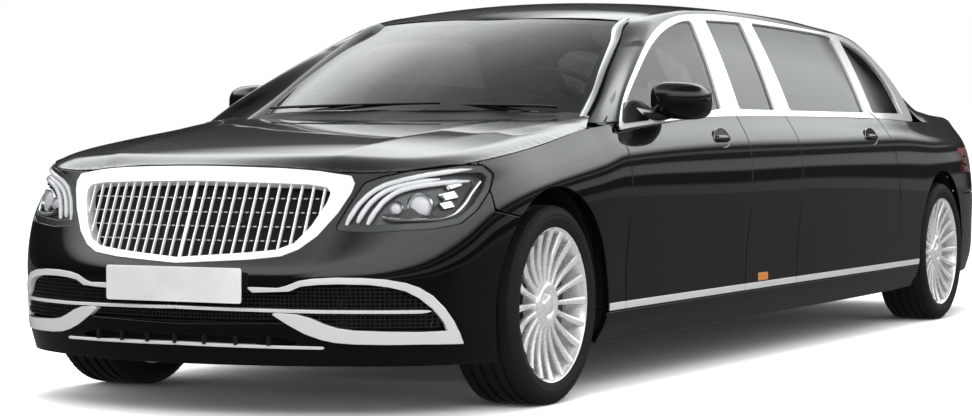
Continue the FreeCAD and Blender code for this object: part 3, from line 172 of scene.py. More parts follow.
side = view(lambda p: (p[:, 1], p[:, 2]))
front = view(lambda p: (p[:, 0], p[:, 2]))
above = view(lambda p: (p[:, 0], p[:, 1]))
both_sides = view(lambda p: (np.abs(p[:, 0]), p[:, 2]))


def outside(test):
    """A test with its sides swapped."""
    return lambda p: -test(p)


# ---------------------------------------------------------------- materials
def node(t, kind, feeds=(), **constants):
    """A new shader node; feeds are the outputs linked to its inputs."""
    n = t.nodes.new("ShaderNode" + kind)
    for k, v in constants.items():
        n.inputs[k.replace("_", " ")].default_value = v
    for k, source in dict(feeds).items():
        t.links.new(source, n.inputs[k])
    return n


def material(name, color, rough=0.5, metal=0.0, **constants):
    """A plain finish; constants set more of its inputs."""
    m = bpy.data.materials.new(name)
    m.use_nodes = True
    constants.update(Base_Color=(*color, 1), Roughness=rough, Metallic=metal)
    for k, v in constants.items():
        m.node_tree.nodes["Principled BSDF"].inputs[k.replace("_", " ")].default_value = v
    return m


def noise(t, scale, detail=3.0, stretch=(1, 1, 1)):
    """A noise texture in the piece's own space."""
    at = node(t, "TexCoord").outputs["Object"]
    vector = node(t, "Mapping", {"Vector": at}, Scale=stretch).outputs["Vector"]
    return node(t, "TexNoise", {"Vector": vector}, Scale=scale, Detail=detail).outputs["Fac"]


def cells(t, scale, feature="F1"):
    n = node(t, "TexVoronoi", {"Vector": node(t, "TexCoord").outputs["Object"]}, Scale=scale)
    n.feature = feature
    return n.outputs["Distance"]


def ramp(t, source, stops):
    """Reads a value through (position, colour or grey) stops."""
    r = t.nodes.new("ShaderNodeValToRGB")
    e = r.color_ramp.elements
    e[0].position, e[1].position = stops[0][0], stops[-1][0]
    for at, c in stops[1:-1]:
        e.new(at)
    for k, (at, c) in enumerate(stops):
        e[k].color = (*c, 1) if isinstance(c, tuple) else (c, c, c, 1)
    t.links.new(source, r.inputs["Fac"])
    return r.outputs["Color"]


def drive(m, socket, source, stops):
    """Lets a texture, read through a ramp, set one socket of a finish."""
    t = m.node_tree
    t.links.new(ramp(t, source, stops), t.nodes["Principled BSDF"].inputs[socket])
    return m


def bump(m, source, strength, distance=0.001):
    """Lets a texture raise and lower a finish."""
    t = m.node_tree
    u = node(t, "Bump", {"Height": source}, Strength=strength, Distance=distance)
    t.links.new(u.outputs["Normal"], t.nodes["Principled BSDF"].inputs["Normal"])
    return m


def varied(m, scale, low, high, stretch=(1, 1, 1)):
    """Makes a finish's roughness drift between two values."""
    return drive(m, "Roughness", noise(m.node_tree, scale, 4.0, stretch), [(0.3, low), (0.7, high)])


def paint_black():
    """Black paint with a clear coat and fine flakes."""
    m = material("gloss_black_paint", (0.002, 0.0025, 0.0025), 0.35, Coat_Weight=1.0, Coat_Roughness=0.012,
        Specular_IOR_Level=0.03)
    drive(m, "Base Color", cells(m.node_tree, 2600),
        [(0.0, (0.0045, 0.0055, 0.0055)), (0.6, (0.0014, 0.0018, 0.0018))])
    return bump(m, noise(m.node_tree, 90, 2.0), 0.002)


def leather(name, color, dark, scale=420):
    """A finish with creases and two tones."""
    m = material(name, color, 0.45)
    bump(m, cells(m.node_tree, scale, "DISTANCE_TO_EDGE"), 0.25, 0.0006)
    return drive(m, "Base Color", noise(m.node_tree, 14, 5.0), [(0.3, dark), (0.7, color)])


def grained(name, color, rough, scale=900, strength=0.2, **more):
    """A finish with a fine grain and slightly uneven tone."""
    m = material(name, color, rough, **more)
    bump(m, noise(m.node_tree, scale, 2.0), strength, 0.0004)
    dark = tuple(c * 0.85 for c in color)
    return drive(m, "Base Color", noise(m.node_tree, 6, 4.0), [(0.3, dark), (0.7, color)])


def glass(name, color, clear):
    """Thin glass: part see-through, part tint, with a gloss on top."""
    m = material(name, color, 0.0, Transmission_Weight=1.0, IOR=1.45, Alpha=clear)
    return bump(m, noise(m.node_tree, 2, 1.0), 0.001)


PAINT = paint_black()
# chrome that is part white diffuse: painted reflection of a bright surround, under its own gloss
CHROME = varied(material("bright_chrome", (0.97, 0.975, 0.98), 0.1, 0.36), 30, 0.08, 0.14)
BLACK_GLOSS = grained("black_gloss", (0.004, 0.004, 0.0045), 0.25, 60, 0.02, Coat_Weight=0.7,
    Coat_Roughness=0.03, Specular_IOR_Level=0.1)
DARK_CHROME = varied(material("dark_chrome", (0.42, 0.425, 0.43), 0.1, 1.0), 30, 0.08, 0.14)
BLACK_MATTE = grained("black_plastic", (0.014, 0.014, 0.015), 0.55, 1400, 0.3, Specular_IOR_Level=0.25)
SEAL = grained("rubber_seal", (0.012, 0.012, 0.012), 0.6, 700, 0.15)
MESH_BLACK = grained("mesh_black", (0.014, 0.014, 0.015), 0.3, 500, 0.05)
# near-black matte for sheets and studs set in holes and openings: painted shade
PAINTED_SHADE = grained("painted_shade_black", (0.004, 0.004, 0.004), 0.8, 200, 0.1)
PLATE = grained("plate_white", (0.86, 0.865, 0.87), 0.28, 2600, 0.06, Coat_Weight=0.3)
TYRE = grained("tyre_rubber", (0.012, 0.012, 0.012), 0.7, 520, 0.25, Specular_IOR_Level=0.25)
WHEEL = varied(material("wheel_silver", (0.93, 0.935, 0.94), 0.24, 0.4, Coat_Weight=0.6,
    Coat_Roughness=0.05), 60, 0.2, 0.3)
IRON = varied(material("brake_disc", (0.12, 0.12, 0.125), 0.4, 0.8), 40, 0.28, 0.5, (1, 30, 30))
STEEL = grained("chassis_steel", (0.05, 0.05, 0.052), 0.5, 300, 0.2)
BEIGE = leather("beige_leather", (0.56, 0.49, 0.41), (0.47, 0.41, 0.34))
DARK_LEATHER = leather("dark_leather", (0.03, 0.028, 0.027), (0.02, 0.019, 0.018))
DASH = leather("dash_leather", (0.045, 0.042, 0.04), (0.03, 0.028, 0.027), 500)
TRIM = grained("inner_trim", (0.30, 0.27, 0.235), 0.6, 800, 0.25)
HEADLINER = grained("headliner", (0.50, 0.47, 0.42), 0.9, 1600, 0.5)
CARPET = grained("carpet", (0.03, 0.03, 0.032), 0.95, 900, 0.8)
ENGINE = grained("cast_aluminium", (0.4, 0.4, 0.4), 0.5, 200, 0.3, metal=0.8)
EXHAUST = varied(material("exhaust_steel", (0.6, 0.58, 0.55), 0.3, 1.0), 8, 0.2, 0.45)
UNDER = grained("underbody", (0.03, 0.03, 0.032), 0.7, 300, 0.4)
CLEAR = glass("clear_glass", (0.30, 0.345, 0.34), 0.92)
SIDE_GLASS = glass("side_window_glass", (0.82, 0.86, 0.85), 0.7)
TINT = glass("tinted_glass", (0.20, 0.24, 0.24), 0.92)
LENS = glass("lamp_lens", (0.93, 0.95, 0.96), 0.12)
RED_LENS = glass("red_lens", (0.42, 0.012, 0.015), 0.75)
AMBER = grained("amber_lens", (0.90, 0.33, 0.045), 0.2, 700, 0.05, Coat_Weight=0.8)
LIGHT_GUIDE = grained("light_guide", (0.82, 0.84, 0.86), 0.25, 500, 0.05, Coat_Weight=0.8)
REFLECT = varied(material("lamp_reflector", (0.78, 0.79, 0.8), 0.12, 1.0), 50, 0.08, 0.2)
LAMP_GREY = grained("lamp_bezel", (0.13, 0.14, 0.14), 0.3, 400, 0.05, metal=0.5)
LAMP_DARK = grained("lamp_dark", (0.03, 0.033, 0.034), 0.25, 400, 0.05)
LAMP_EDGE = grained("lamp_edge", (0.05, 0.055, 0.055), 0.2, 400, 0.03, metal=0.3)
FRIT = grained("glass_border", (.006, .006, .007), .12, 400, .02)
TAIL_GUIDE = grained("tail_guide", (.75, .04, .03), .3, 400, .05)
# slots of the finishes that aren't named after their own
SLOT = dict(gloss_black_paint="black_paint", black_gloss="black_gloss_plastic", dark_chrome="bright_chrome",
    brake_disc="brake_iron", light_guide="lamp_lens", lamp_reflector="lamp_lens", tail_guide="red_lens",
    **dict.fromkeys(("rubber_seal", "mesh_black", "painted_shade_black", "lamp_bezel", "lamp_dark", "lamp_edge"),
    "black_plastic"))


# ---------------------------------------------------------------- meshes
def put(name, verts, faces, mat, body="root", stands=None, slot=None, normals=None, mats=None, index=None,
        angle=35):
    """A mesh piece that rides a body; mats with index gives faces a second material."""
    me = bpy.data.meshes.new(name)
    me.from_pydata([tuple(v) for v in np.asarray(verts, float)[:, :3]], [],
        [list(map(int, f)) for f in faces])
    me.validate(clean_customdata=False)
    ob = bpy.data.objects.new(name, me)
    bpy.context.scene.collection.objects.link(ob)
    for q in (mats or [mat]):
        me.materials.append(q)
    if index is not None:
        me.polygons.foreach_set("material_index", np.asarray(index, np.int32))
    me.polygons.foreach_set("use_smooth", np.ones(len(me.polygons), bool))
    if normals is not None and len(me.vertices) == len(normals):
        me.normals_split_custom_set_from_vertices([tuple(v) for v in np.asarray(normals, float)])
    elif angle:
        me.set_sharp_from_angle(angle=math.radians(angle))
    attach(ob, body)
    # the frame's own materials can share a name, and then Blender adds a number
    if stands:
        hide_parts(stands)
    return ob


def reversed_(faces):
    return [list(f)[::-1] for f in faces]


class Build:
    """Collects parts of one mesh."""

    def __init__(s):
        s.v, s.f, s.n, s.i = [], [], 0, []

    def add(s, verts, faces, mat=0):
        verts = np.asarray(verts, float)[:, :3]
        s.v.append(verts)
        s.f += [[q + s.n for q in f] for f in faces]
        s.i += [mat] * len(faces)
        s.n += len(verts)
        return s

    def mirror(s):
        """Adds the other side of the car."""
        v, f, i, n = np.vstack(s.v), list(s.f), list(s.i), s.n
        s.v.append(v * (-1, 1, 1))
        s.f += [[q + n for q in g] for g in reversed_(f)]
        s.i += i
        s.n += len(v)
        return s

    def put(s, name, mat, body="root", stands=None, slot=None, mats=None, angle=35):
        return put(name, np.vstack(s.v), s.f, mat, body, stands, slot, None, mats, s.i if mats else None,
            angle)


def grid(rows, cols, wrap_r=False, wrap_c=False):
    """Faces of a grid of points, joined end to end where asked."""
    f = []
    for i in range(rows if wrap_r else rows - 1):
        for j in range(cols if wrap_c else cols - 1):
            a, b = i * cols + j, i * cols + (j + 1) % cols
            c, d = ((i + 1) % rows) * cols + (j + 1) % cols, ((i + 1) % rows) * cols + j
            f.append([a, b, c, d])
    return f


def unit(v):
    return v / np.maximum(np.linalg.norm(v, axis=-1, keepdims=True), 1e-12)


def grid_normals(g):
    du, dv = np.gradient(g, axis=0), np.gradient(g, axis=1)
    return unit(np.cross(du, dv))


def sheet_from(g, outward, inner=None):
    """Points, normals and faces of a grid; outward is a rough direction or a point function."""
    n = grid_normals(g)
    out = outward(g) if callable(outward) else np.asarray(outward, float)
    faces = grid(*g.shape[:2])
    if np.sum(n * out) < 0:
        n = -n
    else:
        faces = [f[::-1] for f in faces]
    return np.concatenate([g, n, g if inner is None else inner], 2).reshape(-1, 9), faces


SNAP = 0.12         # a cut this near a grid point, as a share of the edge, moves the point instead


def clip(sheet, *tests):
    """Keeps the part of a sheet where every test is positive."""
    p, faces = sheet
    for test in tests:
        val = test(p)
        keep, val = (val > 0).tolist(), val.tolist()
        p = p.copy()
        new, cut, out, moved = [], {}, [], {}
        base = len(p)
        for face in faces:
            k = [keep[i] for i in face]
            if all(k):
                out.append(face)
            if all(k) or not any(k):
                continue
            poly = []
            for a, b in zip(face, [*face[1:], face[0]]):
                if keep[a]:
                    poly.append(a)
                if keep[a] != keep[b]:
                    key = (a, b) if a < b else (b, a)
                    if key not in cut:
                        t = val[a] / (val[a] - val[b])
                        near = a if t < SNAP else b if t > 1 - SNAP else None
                        point = p[a] + (p[b] - p[a]) * t
                        if near is None:
                            cut[key] = base + len(new)
                            new.append(point)
                        else:
                            moved.setdefault(near, point)
                            cut[key] = near
                    poly.append(cut[key])
            clean = [q for j, q in enumerate(poly) if q != poly[j - 1]]
            if len(set(clean)) >= 3 and len(set(clean)) == len(clean):
                out.append(clean)
        for i, point in moved.items():
            p[i] = point
        p = np.vstack([p, np.array(new)]) if new else p
        used = sorted({i for f in out for i in f})
        renum = {a: b for b, a in enumerate(used)}
        p, faces = p[used], [[renum[i] for i in f] for f in out]
    p[:, 3:6] = unit(p[:, 3:6])
    return p, faces


def edges_of(faces):
    """Directed edges that only one face has."""
    seen = {(a, b): True for f in faces for a, b in zip(f, f[1:] + f[:1])}
    return [(a, b) for a, b in seen if (b, a) not in seen]


ROLL = 0.002        # radius of a panel's rolled rim


def panel(sheet, depth, roll, solid, steps=3):
    """Rolls a sheet's rim over and back; solid also closes it with its inner face."""
    p, faces = sheet
    rim = edges_of(faces)
    nxt, prv = dict(rim), {b: a for a, b in rim}
    ids = sorted(set(nxt) | set(prv))
    where = {v: k for k, v in enumerate(ids)}
    before, after = [prv.get(i, i) for i in ids], [nxt.get(i, i) for i in ids]
    pos, nor = p[ids][:, :3], p[ids][:, 3:6]
    out = unit(np.cross(unit(p[after][:, :3] - p[before][:, :3]), nor))
    verts, norms = [p[:, :3]], [p[:, 3:6]]
    base, rings, f = len(p), [ids], list(faces)
    for k in range(1, steps + 1):
        t = pi / 2 * k / steps
        verts.append(pos + out * roll * math.sin(t) - nor * roll * (1 - math.cos(t)))
        norms.append(unit(out * math.sin(t) + nor * math.cos(t)))
        rings.append(list(range(base, base + len(ids))))
        base += len(ids)
    if solid:
        verts.append(p[:, 6:9])
        norms.append(-p[:, 3:6])
        f += [[i + base for i in reversed(g)] for g in faces]
        rings.append([i + base for i in ids])
    else:
        verts.append(pos + out * roll - nor * depth)
        norms.append(out)
        rings.append(list(range(base, base + len(ids))))
    for r0, r1 in zip(rings, rings[1:]):
        f += [[r0[where[w]], r0[where[u]], r1[where[u]], r1[where[w]]] for u, w in rim]
    return np.vstack(verts), f, np.vstack(norms)


def put_panel(name, sheets, mat, body="root", stands=None, slot=None, depth=0.02, roll=ROLL, solid=False,
        mirror=False, flip=False):
    """One piece from one or more rolled sheets, mirrored as well or moved to the other side."""
    V, F, N, n = [], [], [], 0
    for s in (sheets if isinstance(sheets, list) else [sheets]):
        v, f, nn = panel(s, depth, roll, solid)
        for m in ((1, -1) if mirror else ((-1,) if flip else (1,))):
            V.append(v * (m, 1, 1))
            N.append(nn * (m, 1, 1))
            F += [[q + n for q in (g if m > 0 else reversed(g))] for g in f]
            n += len(v)
    return put(name, np.vstack(V), F, mat, body, stands, slot, np.vstack(N))


# ---------------------------------------------------------------- body surface
FRONT_AXLE, REAR_AXLE = -2.345, 2.073
WHEEL_R = 0.340
ARCH_R = 0.400
# rings foot, sill, lower, waist, shoulder, edge as (inset, height) at stations round the left side
BODY = (
    (0, -3.250, .030, .178, .012, .255, .008, .345, 0, .450, .040, .560, .150, .812),
    (.330, -3.207, .030, .178, .012, .255, .008, .345, 0, .450, .038, .560, .140, .806),
    (.600, -3.110, .030, .178, .012, .255, .008, .345, 0, .450, .032, .575, .110, .790),
    (.770, -3.000, .030, .178, .012, .255, .006, .345, 0, .460, .024, .600, .085, .800),
    (.868, -2.872, .028, .178, .008, .255, .004, .350, 0, .480, .018, .640, .075, .812),
    (.915, -2.745, .028, .178, .006, .255, .002, .360, 0, .500, .014, .690, .072, .828),
    (.944, -2.345, .030, .178, .006, .260, .002, .400, 0, .560, .010, .760, .076, .876),
    (.949, -1.960, .045, .178, .008, .270, .006, .420, 0, .600, .012, .815, .084, .935),
    (.949, -1.770, .050, .178, .010, .275, .009, .430, 0, .620, .014, .840, .076, .952),
    (.949, -.580, .052, .178, .012, .285, .010, .440, 0, .650, .020, .870, .080, .994),
    (.949, .020, .052, .178, .012, .285, .009, .440, 0, .650, .020, .872, .084, 1.000),
    (.948, 1.310, .050, .182, .010, .290, .006, .450, 0, .650, .024, .875, .086, .994),
    (.945, 1.680, .045, .190, .008, .300, .003, .460, 0, .650, .026, .872, .092, .986),
    (.938, 2.073, .040, .200, .008, .310, .002, .470, 0, .650, .028, .868, .115, .982),
    (.915, 2.470, .036, .210, .008, .315, .002, .470, 0, .640, .030, .860, .130, .985),
    (.862, 2.820, .034, .220, .008, .320, .002, .470, 0, .620, .034, .850, .120, .985),
    (.745, 3.050, .034, .225, .008, .325, 0, .470, .004, .620, .040, .850, .110, .990),
    (.500, 3.180, .034, .228, .008, .325, 0, .470, .008, .620, .044, .850, .100, 1.000),
    (.260, 3.235, .034, .230, .008, .325, 0, .470, .010, .620, .046, .850, .100, 1.004),
    (0, 3.250, .034, .230, .008, .325, 0, .470, .010, .620, .046, .850, .100, 1.006),
)
_b = np.array(BODY, float)
PLAN, PROF = _b[:, :2], _b[:, 2:]
SPINE = np.concatenate([[0], np.cumsum(np.hypot(*np.diff(PLAN, axis=0).T))])
PLAN_M = clamped_slopes(SPINE, PLAN, np.array([1.0, 0]), np.array([-1.0, 0]))
PROF_M = pchip_slopes(SPINE, PROF)
RINGS = np.arange(6.0)
EDGE = 5          # ring number of the top edge


def plan_at(s):
    """The side's plan (x, y) at spine lengths."""
    return hermite(SPINE, PLAN, PLAN_M, np.clip(s, 0, SPINE[-1]))


def body(s, v, step=5e-4):
    """Points of the left side at spine lengths s and ring numbers v, as a grid."""
    s, v = np.asarray(s, float), np.asarray(v, float)
    p, t = plan_at(s), unit(plan_at(s + step) - plan_at(s - step))
    q = hermite(SPINE, PROF, PROF_M, s).reshape(-1, 6, 2)
    out = np.zeros((len(s), len(v), 3))
    for i in range(len(s)):
        c = clamped_slopes(RINGS, q[i], q[i][1] - q[i][0], q[i][5] - q[i][4])
        w = hermite(RINGS, q[i], c, v)
        out[i, :, 0] = p[i, 0] - t[i, 1] * w[:, 0]
        out[i, :, 1] = p[i, 1] + t[i, 0] * w[:, 0]
        out[i, :, 2] = w[:, 1]
    return out


def spine_at(y):
    """Spine length where the side reaches a y, past the nose."""
    k = SPINE > 0.6
    return float(np.interp(y, PLAN[k][:, 1], SPINE[k]))


def across(step, s0, s1, v0=0.0, v1=5.0, rows=70):
    """The left side between two spine lengths, in steps of about that length."""
    n = max(4, int((s1 - s0) / step))
    return body(np.linspace(s0, s1, n + 1), np.linspace(v0, v1, rows))


def full_nose(g):
    """A grid from the nose's centre joined to its mirror image."""
    return np.concatenate([(g * (-1, 1, 1))[:0:-1], g], 0)


EDGE_LINE = body(np.linspace(0, SPINE[-1], 700), [EDGE])[:, 0]


# ---------------------------------------------------------------- side outlines, (y, z)
BELT, BELT_X = 1.0, 0.865       # where the windows start, and how far out their plane is there
LEAN = 0.5875                   # how much the windows come in for each metre up
WINDOW_HEIGHT, BULGE = 0.43, 0.010
TAPER = table([(-3, 0), (1.0, 0), (1.31, .010), (1.68, .036), (2.0, .068), (2.47, .145), (3, .25)])


def cabin_x(y, z, depth=0.0):
    """Outer face of the cabin's side over the belt."""
    y, z = np.asarray(y, float), np.asarray(z, float)
    bulge = BULGE * np.sin(pi * np.clip((z - BELT) / WINDOW_HEIGHT, 0, 1))
    return BELT_X - LEAN * (z - BELT) - TAPER(y.ravel())[:, 0].reshape(y.shape) + bulge - depth


def cabin_grid(y0, y1, z0, z1, dy=0.02, dz=0.012, depth=0.0, thick=0.045):
    """A sheet on the plane of the side windows."""
    y, z = np.meshgrid(np.linspace(y0, y1, int((y1 - y0) / dy) + 2),
        np.linspace(z0, z1, int((z1 - z0) / dz) + 2), indexing="ij")
    g = np.stack([cabin_x(y, z, depth), y, z], 2)
    inner = np.stack([cabin_x(y, z, depth + thick), y, z], 2)
    return sheet_from(g, (1, 0, .3), inner)


FRAME_TOP = ((-1.757, .942), (-1.612, 1.038), (-1.372, 1.157), (-1.12, 1.265), (-.87, 1.349), (-.637, 1.397),
    (-.381, 1.42), (.161, 1.428), (.726, 1.415), (1.178, 1.402), (1.57, 1.372), (1.79, 1.292),
    (1.935, 1.185), (1.995, 1.06), (1.965, .99))
FRAME_LOW = ((1.90, .986), (1.28, .996), (.02, .998), (-.915, .986), (-1.5, .956), (-1.72, .940))
FRAME = np.vstack([spline(FRAME_TOP[:12], 110), spline(FRAME_TOP[11:], 40)[1:], spline(FRAME_LOW, 90)])
GLASS_LOW = 1.022
FRONT_GLASS = fillet(np.vstack([spline(((-1.600, 1.030), (-1.326, 1.158), (-1.085, 1.257), (-.846, 1.331),
    (-.615, 1.377), (-.474, 1.390)), 60), spline(((-.474, 1.390), (-.668, GLASS_LOW)), 10)[1:],
    spline(((-.668, GLASS_LOW), (-1.45, 1.012), (-1.600, 1.030)), 20)[1:-1]]), 0.018)
BAY_GLASS = fillet(((-.316, 1.398), (.097, 1.406), (-.069, GLASS_LOW), (-.476, GLASS_LOW)), 0.014)
REAR_GLASS = fillet(np.vstack([spline(((.221, 1.407), (.7, 1.401), (1.225, 1.386)), 20),
    spline(((1.225, 1.386), (1.095, GLASS_LOW)), 10)[1:], ((.109, GLASS_LOW),)]), 0.016)
QUARTER_GLASS = fillet(np.vstack([spline(((1.335, 1.372), (1.52, 1.350), (1.68, 1.300), (1.775, 1.22),
    (1.81, 1.13), (1.800, GLASS_LOW)), 40), ((1.225, GLASS_LOW),)]), 0.016)
LINE_1 = ((-1.790, .292), (-1.765, .62), (-1.738, .84), (-1.757, .942), (-1.70, 1.10))
LINE_2 = ((-.625, .292), (-.580, .62), (-.544, .87), (-.540, 1.0), (-.392, 1.43))
LINE_3 = ((-.040, .292), (.002, .62), (.036, .87), (.028, 1.0), (.165, 1.44))
LINE_4 = ((1.290, .292), (1.348, .62), (1.305, .875), (1.262, .992), (1.158, 1.03), (1.265, 1.44))


LOW, HIGH = -.3, 1.6        # beyond the car, under and over it


def shut(line):
    """A shut line made smooth below the belt and straight over it, carried on down."""
    a = spline(line[:4], 40)
    return np.vstack([[[a[0, 0], LOW]], a, np.array(line[4:])])


CUT_1, CUT_2, CUT_3, CUT_4 = shut(LINE_1), shut(LINE_2), shut(LINE_3), shut(LINE_4)
GAP = 0.0025        # half the gap between two panels
INSET = ROLL + GAP


def between_cuts(first, last):
    """Side-view outline between two shut lines."""
    return np.vstack([first, [[first[-1, 0], HIGH]], [[last[-1, 0], HIGH]], last[::-1]])


AHEAD = np.vstack([CUT_1, [[-1.6, HIGH], [-4, HIGH], [-4, LOW]]])
DOOR_1 = between_cuts(CUT_1, CUT_2)
BAY = between_cuts(CUT_2, CUT_3)
DOOR_2 = between_cuts(CUT_3, CUT_4)
BEHIND = np.vstack([CUT_4, [[CUT_4[-1, 0], HIGH], [4, HIGH], [4, LOW]]])
DOOR = {"front": DOOR_1, "rear": DOOR_2}
SIDES = ((1, "left"), (-1, "right"))     # sign of x, and the side's name


def each_door():
    """Name and row of each door, and whether it is on the right."""
    for sign, lr in SIDES:
        for row in DOOR:
            yield "%s_%s_door" % (row, lr), row, sign < 0


def arch_test(axle, radius=ARCH_R):
    """Keeps what lies outside a wheel arch."""
    return lambda p: np.hypot(p[:, 1] - axle, p[:, 2] - WHEEL_R) - radius


def over(z, sign=1):
    """Keeps what lies over a height, or under it with sign -1."""
    return lambda p: sign * (p[:, 2] - z)


def lip(test):
    """A test that leaves room for the gap and the rolled rim."""
    return lambda p: test(p) - INSET


SILL_Z = 0.292
ABOVE_SILL = over(SILL_Z + INSET)


# ---------------------------------------------------------------- lower body panels
DOOR_CARD = table([(.29, .832), (.65, .832), (1.0, .800), (1.04, .790)])


def side_grid(y0, y1):
    """The left side between two y as a grid, with one more row on the cabin's plane."""
    g = across(.022, spine_at(y0), spine_at(y1), 1.0, rows=64)
    top = g[:, -1:].copy()
    top[:, :, 2] += .010
    top[:, :, 0] = cabin_x(top[:, :, 1], top[:, :, 2])
    g = np.concatenate([g, top], 1)
    inner = g.copy()
    inner[..., 0] = np.minimum(DOOR_CARD(g[..., 2].ravel())[:, 0].reshape(g.shape[:2]), g[..., 0] - .02)
    return sheet_from(g, (1, 0, .1), inner)


for row, y0, y1 in (("front", -1.90, -.50), ("rear", -.15, 1.45)):
    sheet = clip(side_grid(y0, y1), lip(side(DOOR[row])), ABOVE_SILL)
    for sign, lr in SIDES:
        door = "%s_%s_door" % (row, lr)
        put_panel(door + "_skin", sheet, PAINT, door, door, solid=True, flip=sign < 0)
put_panel("centre_panel_skins", clip(side_grid(-.72, .12), lip(side(BAY)), ABOVE_SILL), PAINT,
    stands="centre_panels", solid=True, mirror=True)


def away_from(y):
    """Outward is level and away from a point on the car's middle line."""
    return lambda g: g * (1, 1, 0) - np.array([0, y, 0])


NOSE_MID, TAIL_MID = -2.3, 1.0
BUMPER_SIDE = ((-3.6, -.3), (-3.6, 1.2), (-2.74, 1.2), (-2.74, .67), (-2.60, .645), (-2.5, .62), (-2.5, -.3))
nose = body(np.linspace(0, spine_at(-2.48), 150), np.linspace(0, 5, 120))
NOSE_SHEET = sheet_from(full_nose(nose), away_from(NOSE_MID))
fender_sheet = sheet_from(across(.016, spine_at(-2.80), spine_at(-1.60), rows=80), (1, 0, .1))


def half_outline(points):
    """A half outline on the left, closed by its mirror image."""
    return [(x, z) for x, z in points] + [(-x, z) for x, z in reversed(points) if x > 0]


GRILLE_OUT = half_outline(((0, .815), (.05, .815), (.25, .812), (.411, .802), (.532, .785), (.547, .761),
    (.542, .73), (.513, .666), (.462, .591), (.411, .548), (.359, .526), (.25, .514), (0, .50)))
GRILLE_IN = half_outline(((0, .767), (.244, .762), (.40, .757), (.462, .748), (.478, .729), (.472, .697),
    (.437, .622), (.395, .569), (.342, .547), (.244, .537), (0, .519)))
# edges that the intake's corners share with the bumper's chrome
EDGE_HIGH = ((.362, .418), (.399, .42), (.435, .436), (.491, .442), (.55, .444), (.636, .442),
    (.691, .434), (.734, .421), (.767, .399), (.798, .363), (.819, .325))
EDGE_LOW = ((.419, .342), (.461, .33), (.501, .312), (.54, .299), (.589, .292), (.682, .288))
INTAKE = half_outline(((0, .405), (.281, .412), *EDGE_HIGH, (.83, .287), *EDGE_LOW[::-1], (.38, .315),
    (0, .307)))
SLOT_LOW = half_outline(((0, .274), (.34, .272), (.378, .268), (.43, .252), (.40, .243), (0, .243)))
C40, S40 = math.cos(math.radians(40)), math.sin(math.radians(40))
lamp_view = view(lambda p: (np.abs(p[:, 0]) * C40 + p[:, 1] * S40, p[:, 2]))
LAMP = fillet(((-1.599, .613), (-1.533, .714), (-1.497, .762), (-1.439, .783), (-1.332, .804),
    (-1.219, .817), (-1.095, .819), (-1.058, .791), (-1.082, .737), (-1.134, .674), (-1.195, .632),
    (-1.288, .617), (-1.386, .613), (-1.492, .606)), .012, 30)
put_panel("front_bumper_skin", clip(NOSE_SHEET, lip(side(BUMPER_SIDE)), outside(front(GRILLE_OUT, .001)),
    outside(lamp_view(LAMP, .003)), outside(front(INTAKE, .001)), outside(front(SLOT_LOW)),
    lip(arch_test(FRONT_AXLE))), PAINT, stands="front_bumper")
put_panel("front_fender_skins", clip(fender_sheet, lip(side(AHEAD)), outside(side(BUMPER_SIDE, INSET)),
    outside(lamp_view(LAMP, .003)), lip(arch_test(FRONT_AXLE)), ABOVE_SILL), PAINT, stands="front_fenders",
    mirror=True)

tail_sheet = sheet_from(across(.016, spine_at(1.15), SPINE[-1], rows=80), away_from(TAIL_MID))
TAIL_LAMP = ((.44, .70), (.44, .80), (.60, .845), (.97, .86), (.97, .74), (.62, .69))
LID_TAIL = ((-.42, .63), (-.42, .87), (-.61, .875), (-.61, 1.3), (.61, 1.3), (.61, .875), (.42, .87),
    (.42, .63))
PART_Y, PART_Z = 2.47, .62      # the rear bumper's skin parts from the quarters here


def tail_zone(outline, grow):
    """A test for an outline seen from behind, at the tail only."""
    f = both_sides(outline, grow)
    return lambda p: np.minimum(f(p), p[:, 1] - 2.45)


put_panel("rear_quarter_skins", clip(tail_sheet, lip(side(BEHIND)), outside(tail_zone(LID_TAIL, .004)),
    outside(tail_zone(TAIL_LAMP, .003)), lip(arch_test(REAR_AXLE)),
    lambda p: np.maximum(p[:, 2] - PART_Z - INSET, PART_Y - p[:, 1]), ABOVE_SILL), PAINT,
    stands="rear_quarters", mirror=True)
put_panel("rear_bumper_skin", clip(tail_sheet, lambda p: PART_Z - INSET - p[:, 2],
    lambda p: p[:, 1] - PART_Y - INSET, lip(arch_test(REAR_AXLE))), PAINT, stands="rear_bumper", mirror=True)
put_panel("rocker_skins", clip(sheet_from(across(.022, spine_at(-1.97), spine_at(1.72), 0, 2, 24),
    (1, 0, 0)), over(SILL_Z - .006, -1), arch_test(FRONT_AXLE), arch_test(REAR_AXLE)), PAINT,
    stands="rocker_covers", mirror=True)


# ---------------------------------------------------------------- hood and deck as height fields
def nearest_edge(x, y, chunk=4000):
    """Plan distance to the body's top edge, and the height of the edge there."""
    best, ez = np.empty(len(x)), np.empty(len(x))
    for k in range(0, len(x), chunk):
        part = slice(k, k + chunk)
        d = np.hypot(np.abs(x[part])[:, None] - EDGE_LINE[None, :, 0],
            y[part][:, None] - EDGE_LINE[None, :, 1])
        j = d.argmin(1)
        best[part], ez[part] = d[np.arange(len(j)), j], EDGE_LINE[j, 2]
    return best, ez


HOOD = table((
    (-3.27, .52, .775, .40, .788, .795), (-3.10, .53, .802, .42, .816, .824),
    (-2.95, .56, .836, .44, .850, .858), (-2.75, .60, .872, .47, .888, .894),
    (-2.345, .65, .922, .50, .936, .942), (-2.10, .69, .946, .53, .959, .965),
    (-1.89, .74, .968, .56, .976, .980), (-1.63, .79, .990, .60, .996, .998)))
HOOD_FALL = .12         # slope of the hood beyond its ridges


def hood_inner(x, y):
    """Height of the hood away from its edges."""
    rx, rz, cx, cz, mz = HOOD(y).T
    a = np.abs(x)
    mid = mz + (cz - mz) * (a / cx) ** 2
    low = cz + (rz - cz) * (a - cx) / (rx - cx)
    out = rz - HOOD_FALL * (a - rx)
    return np.where(a < cx, mid, np.where(a < rx, low, out))


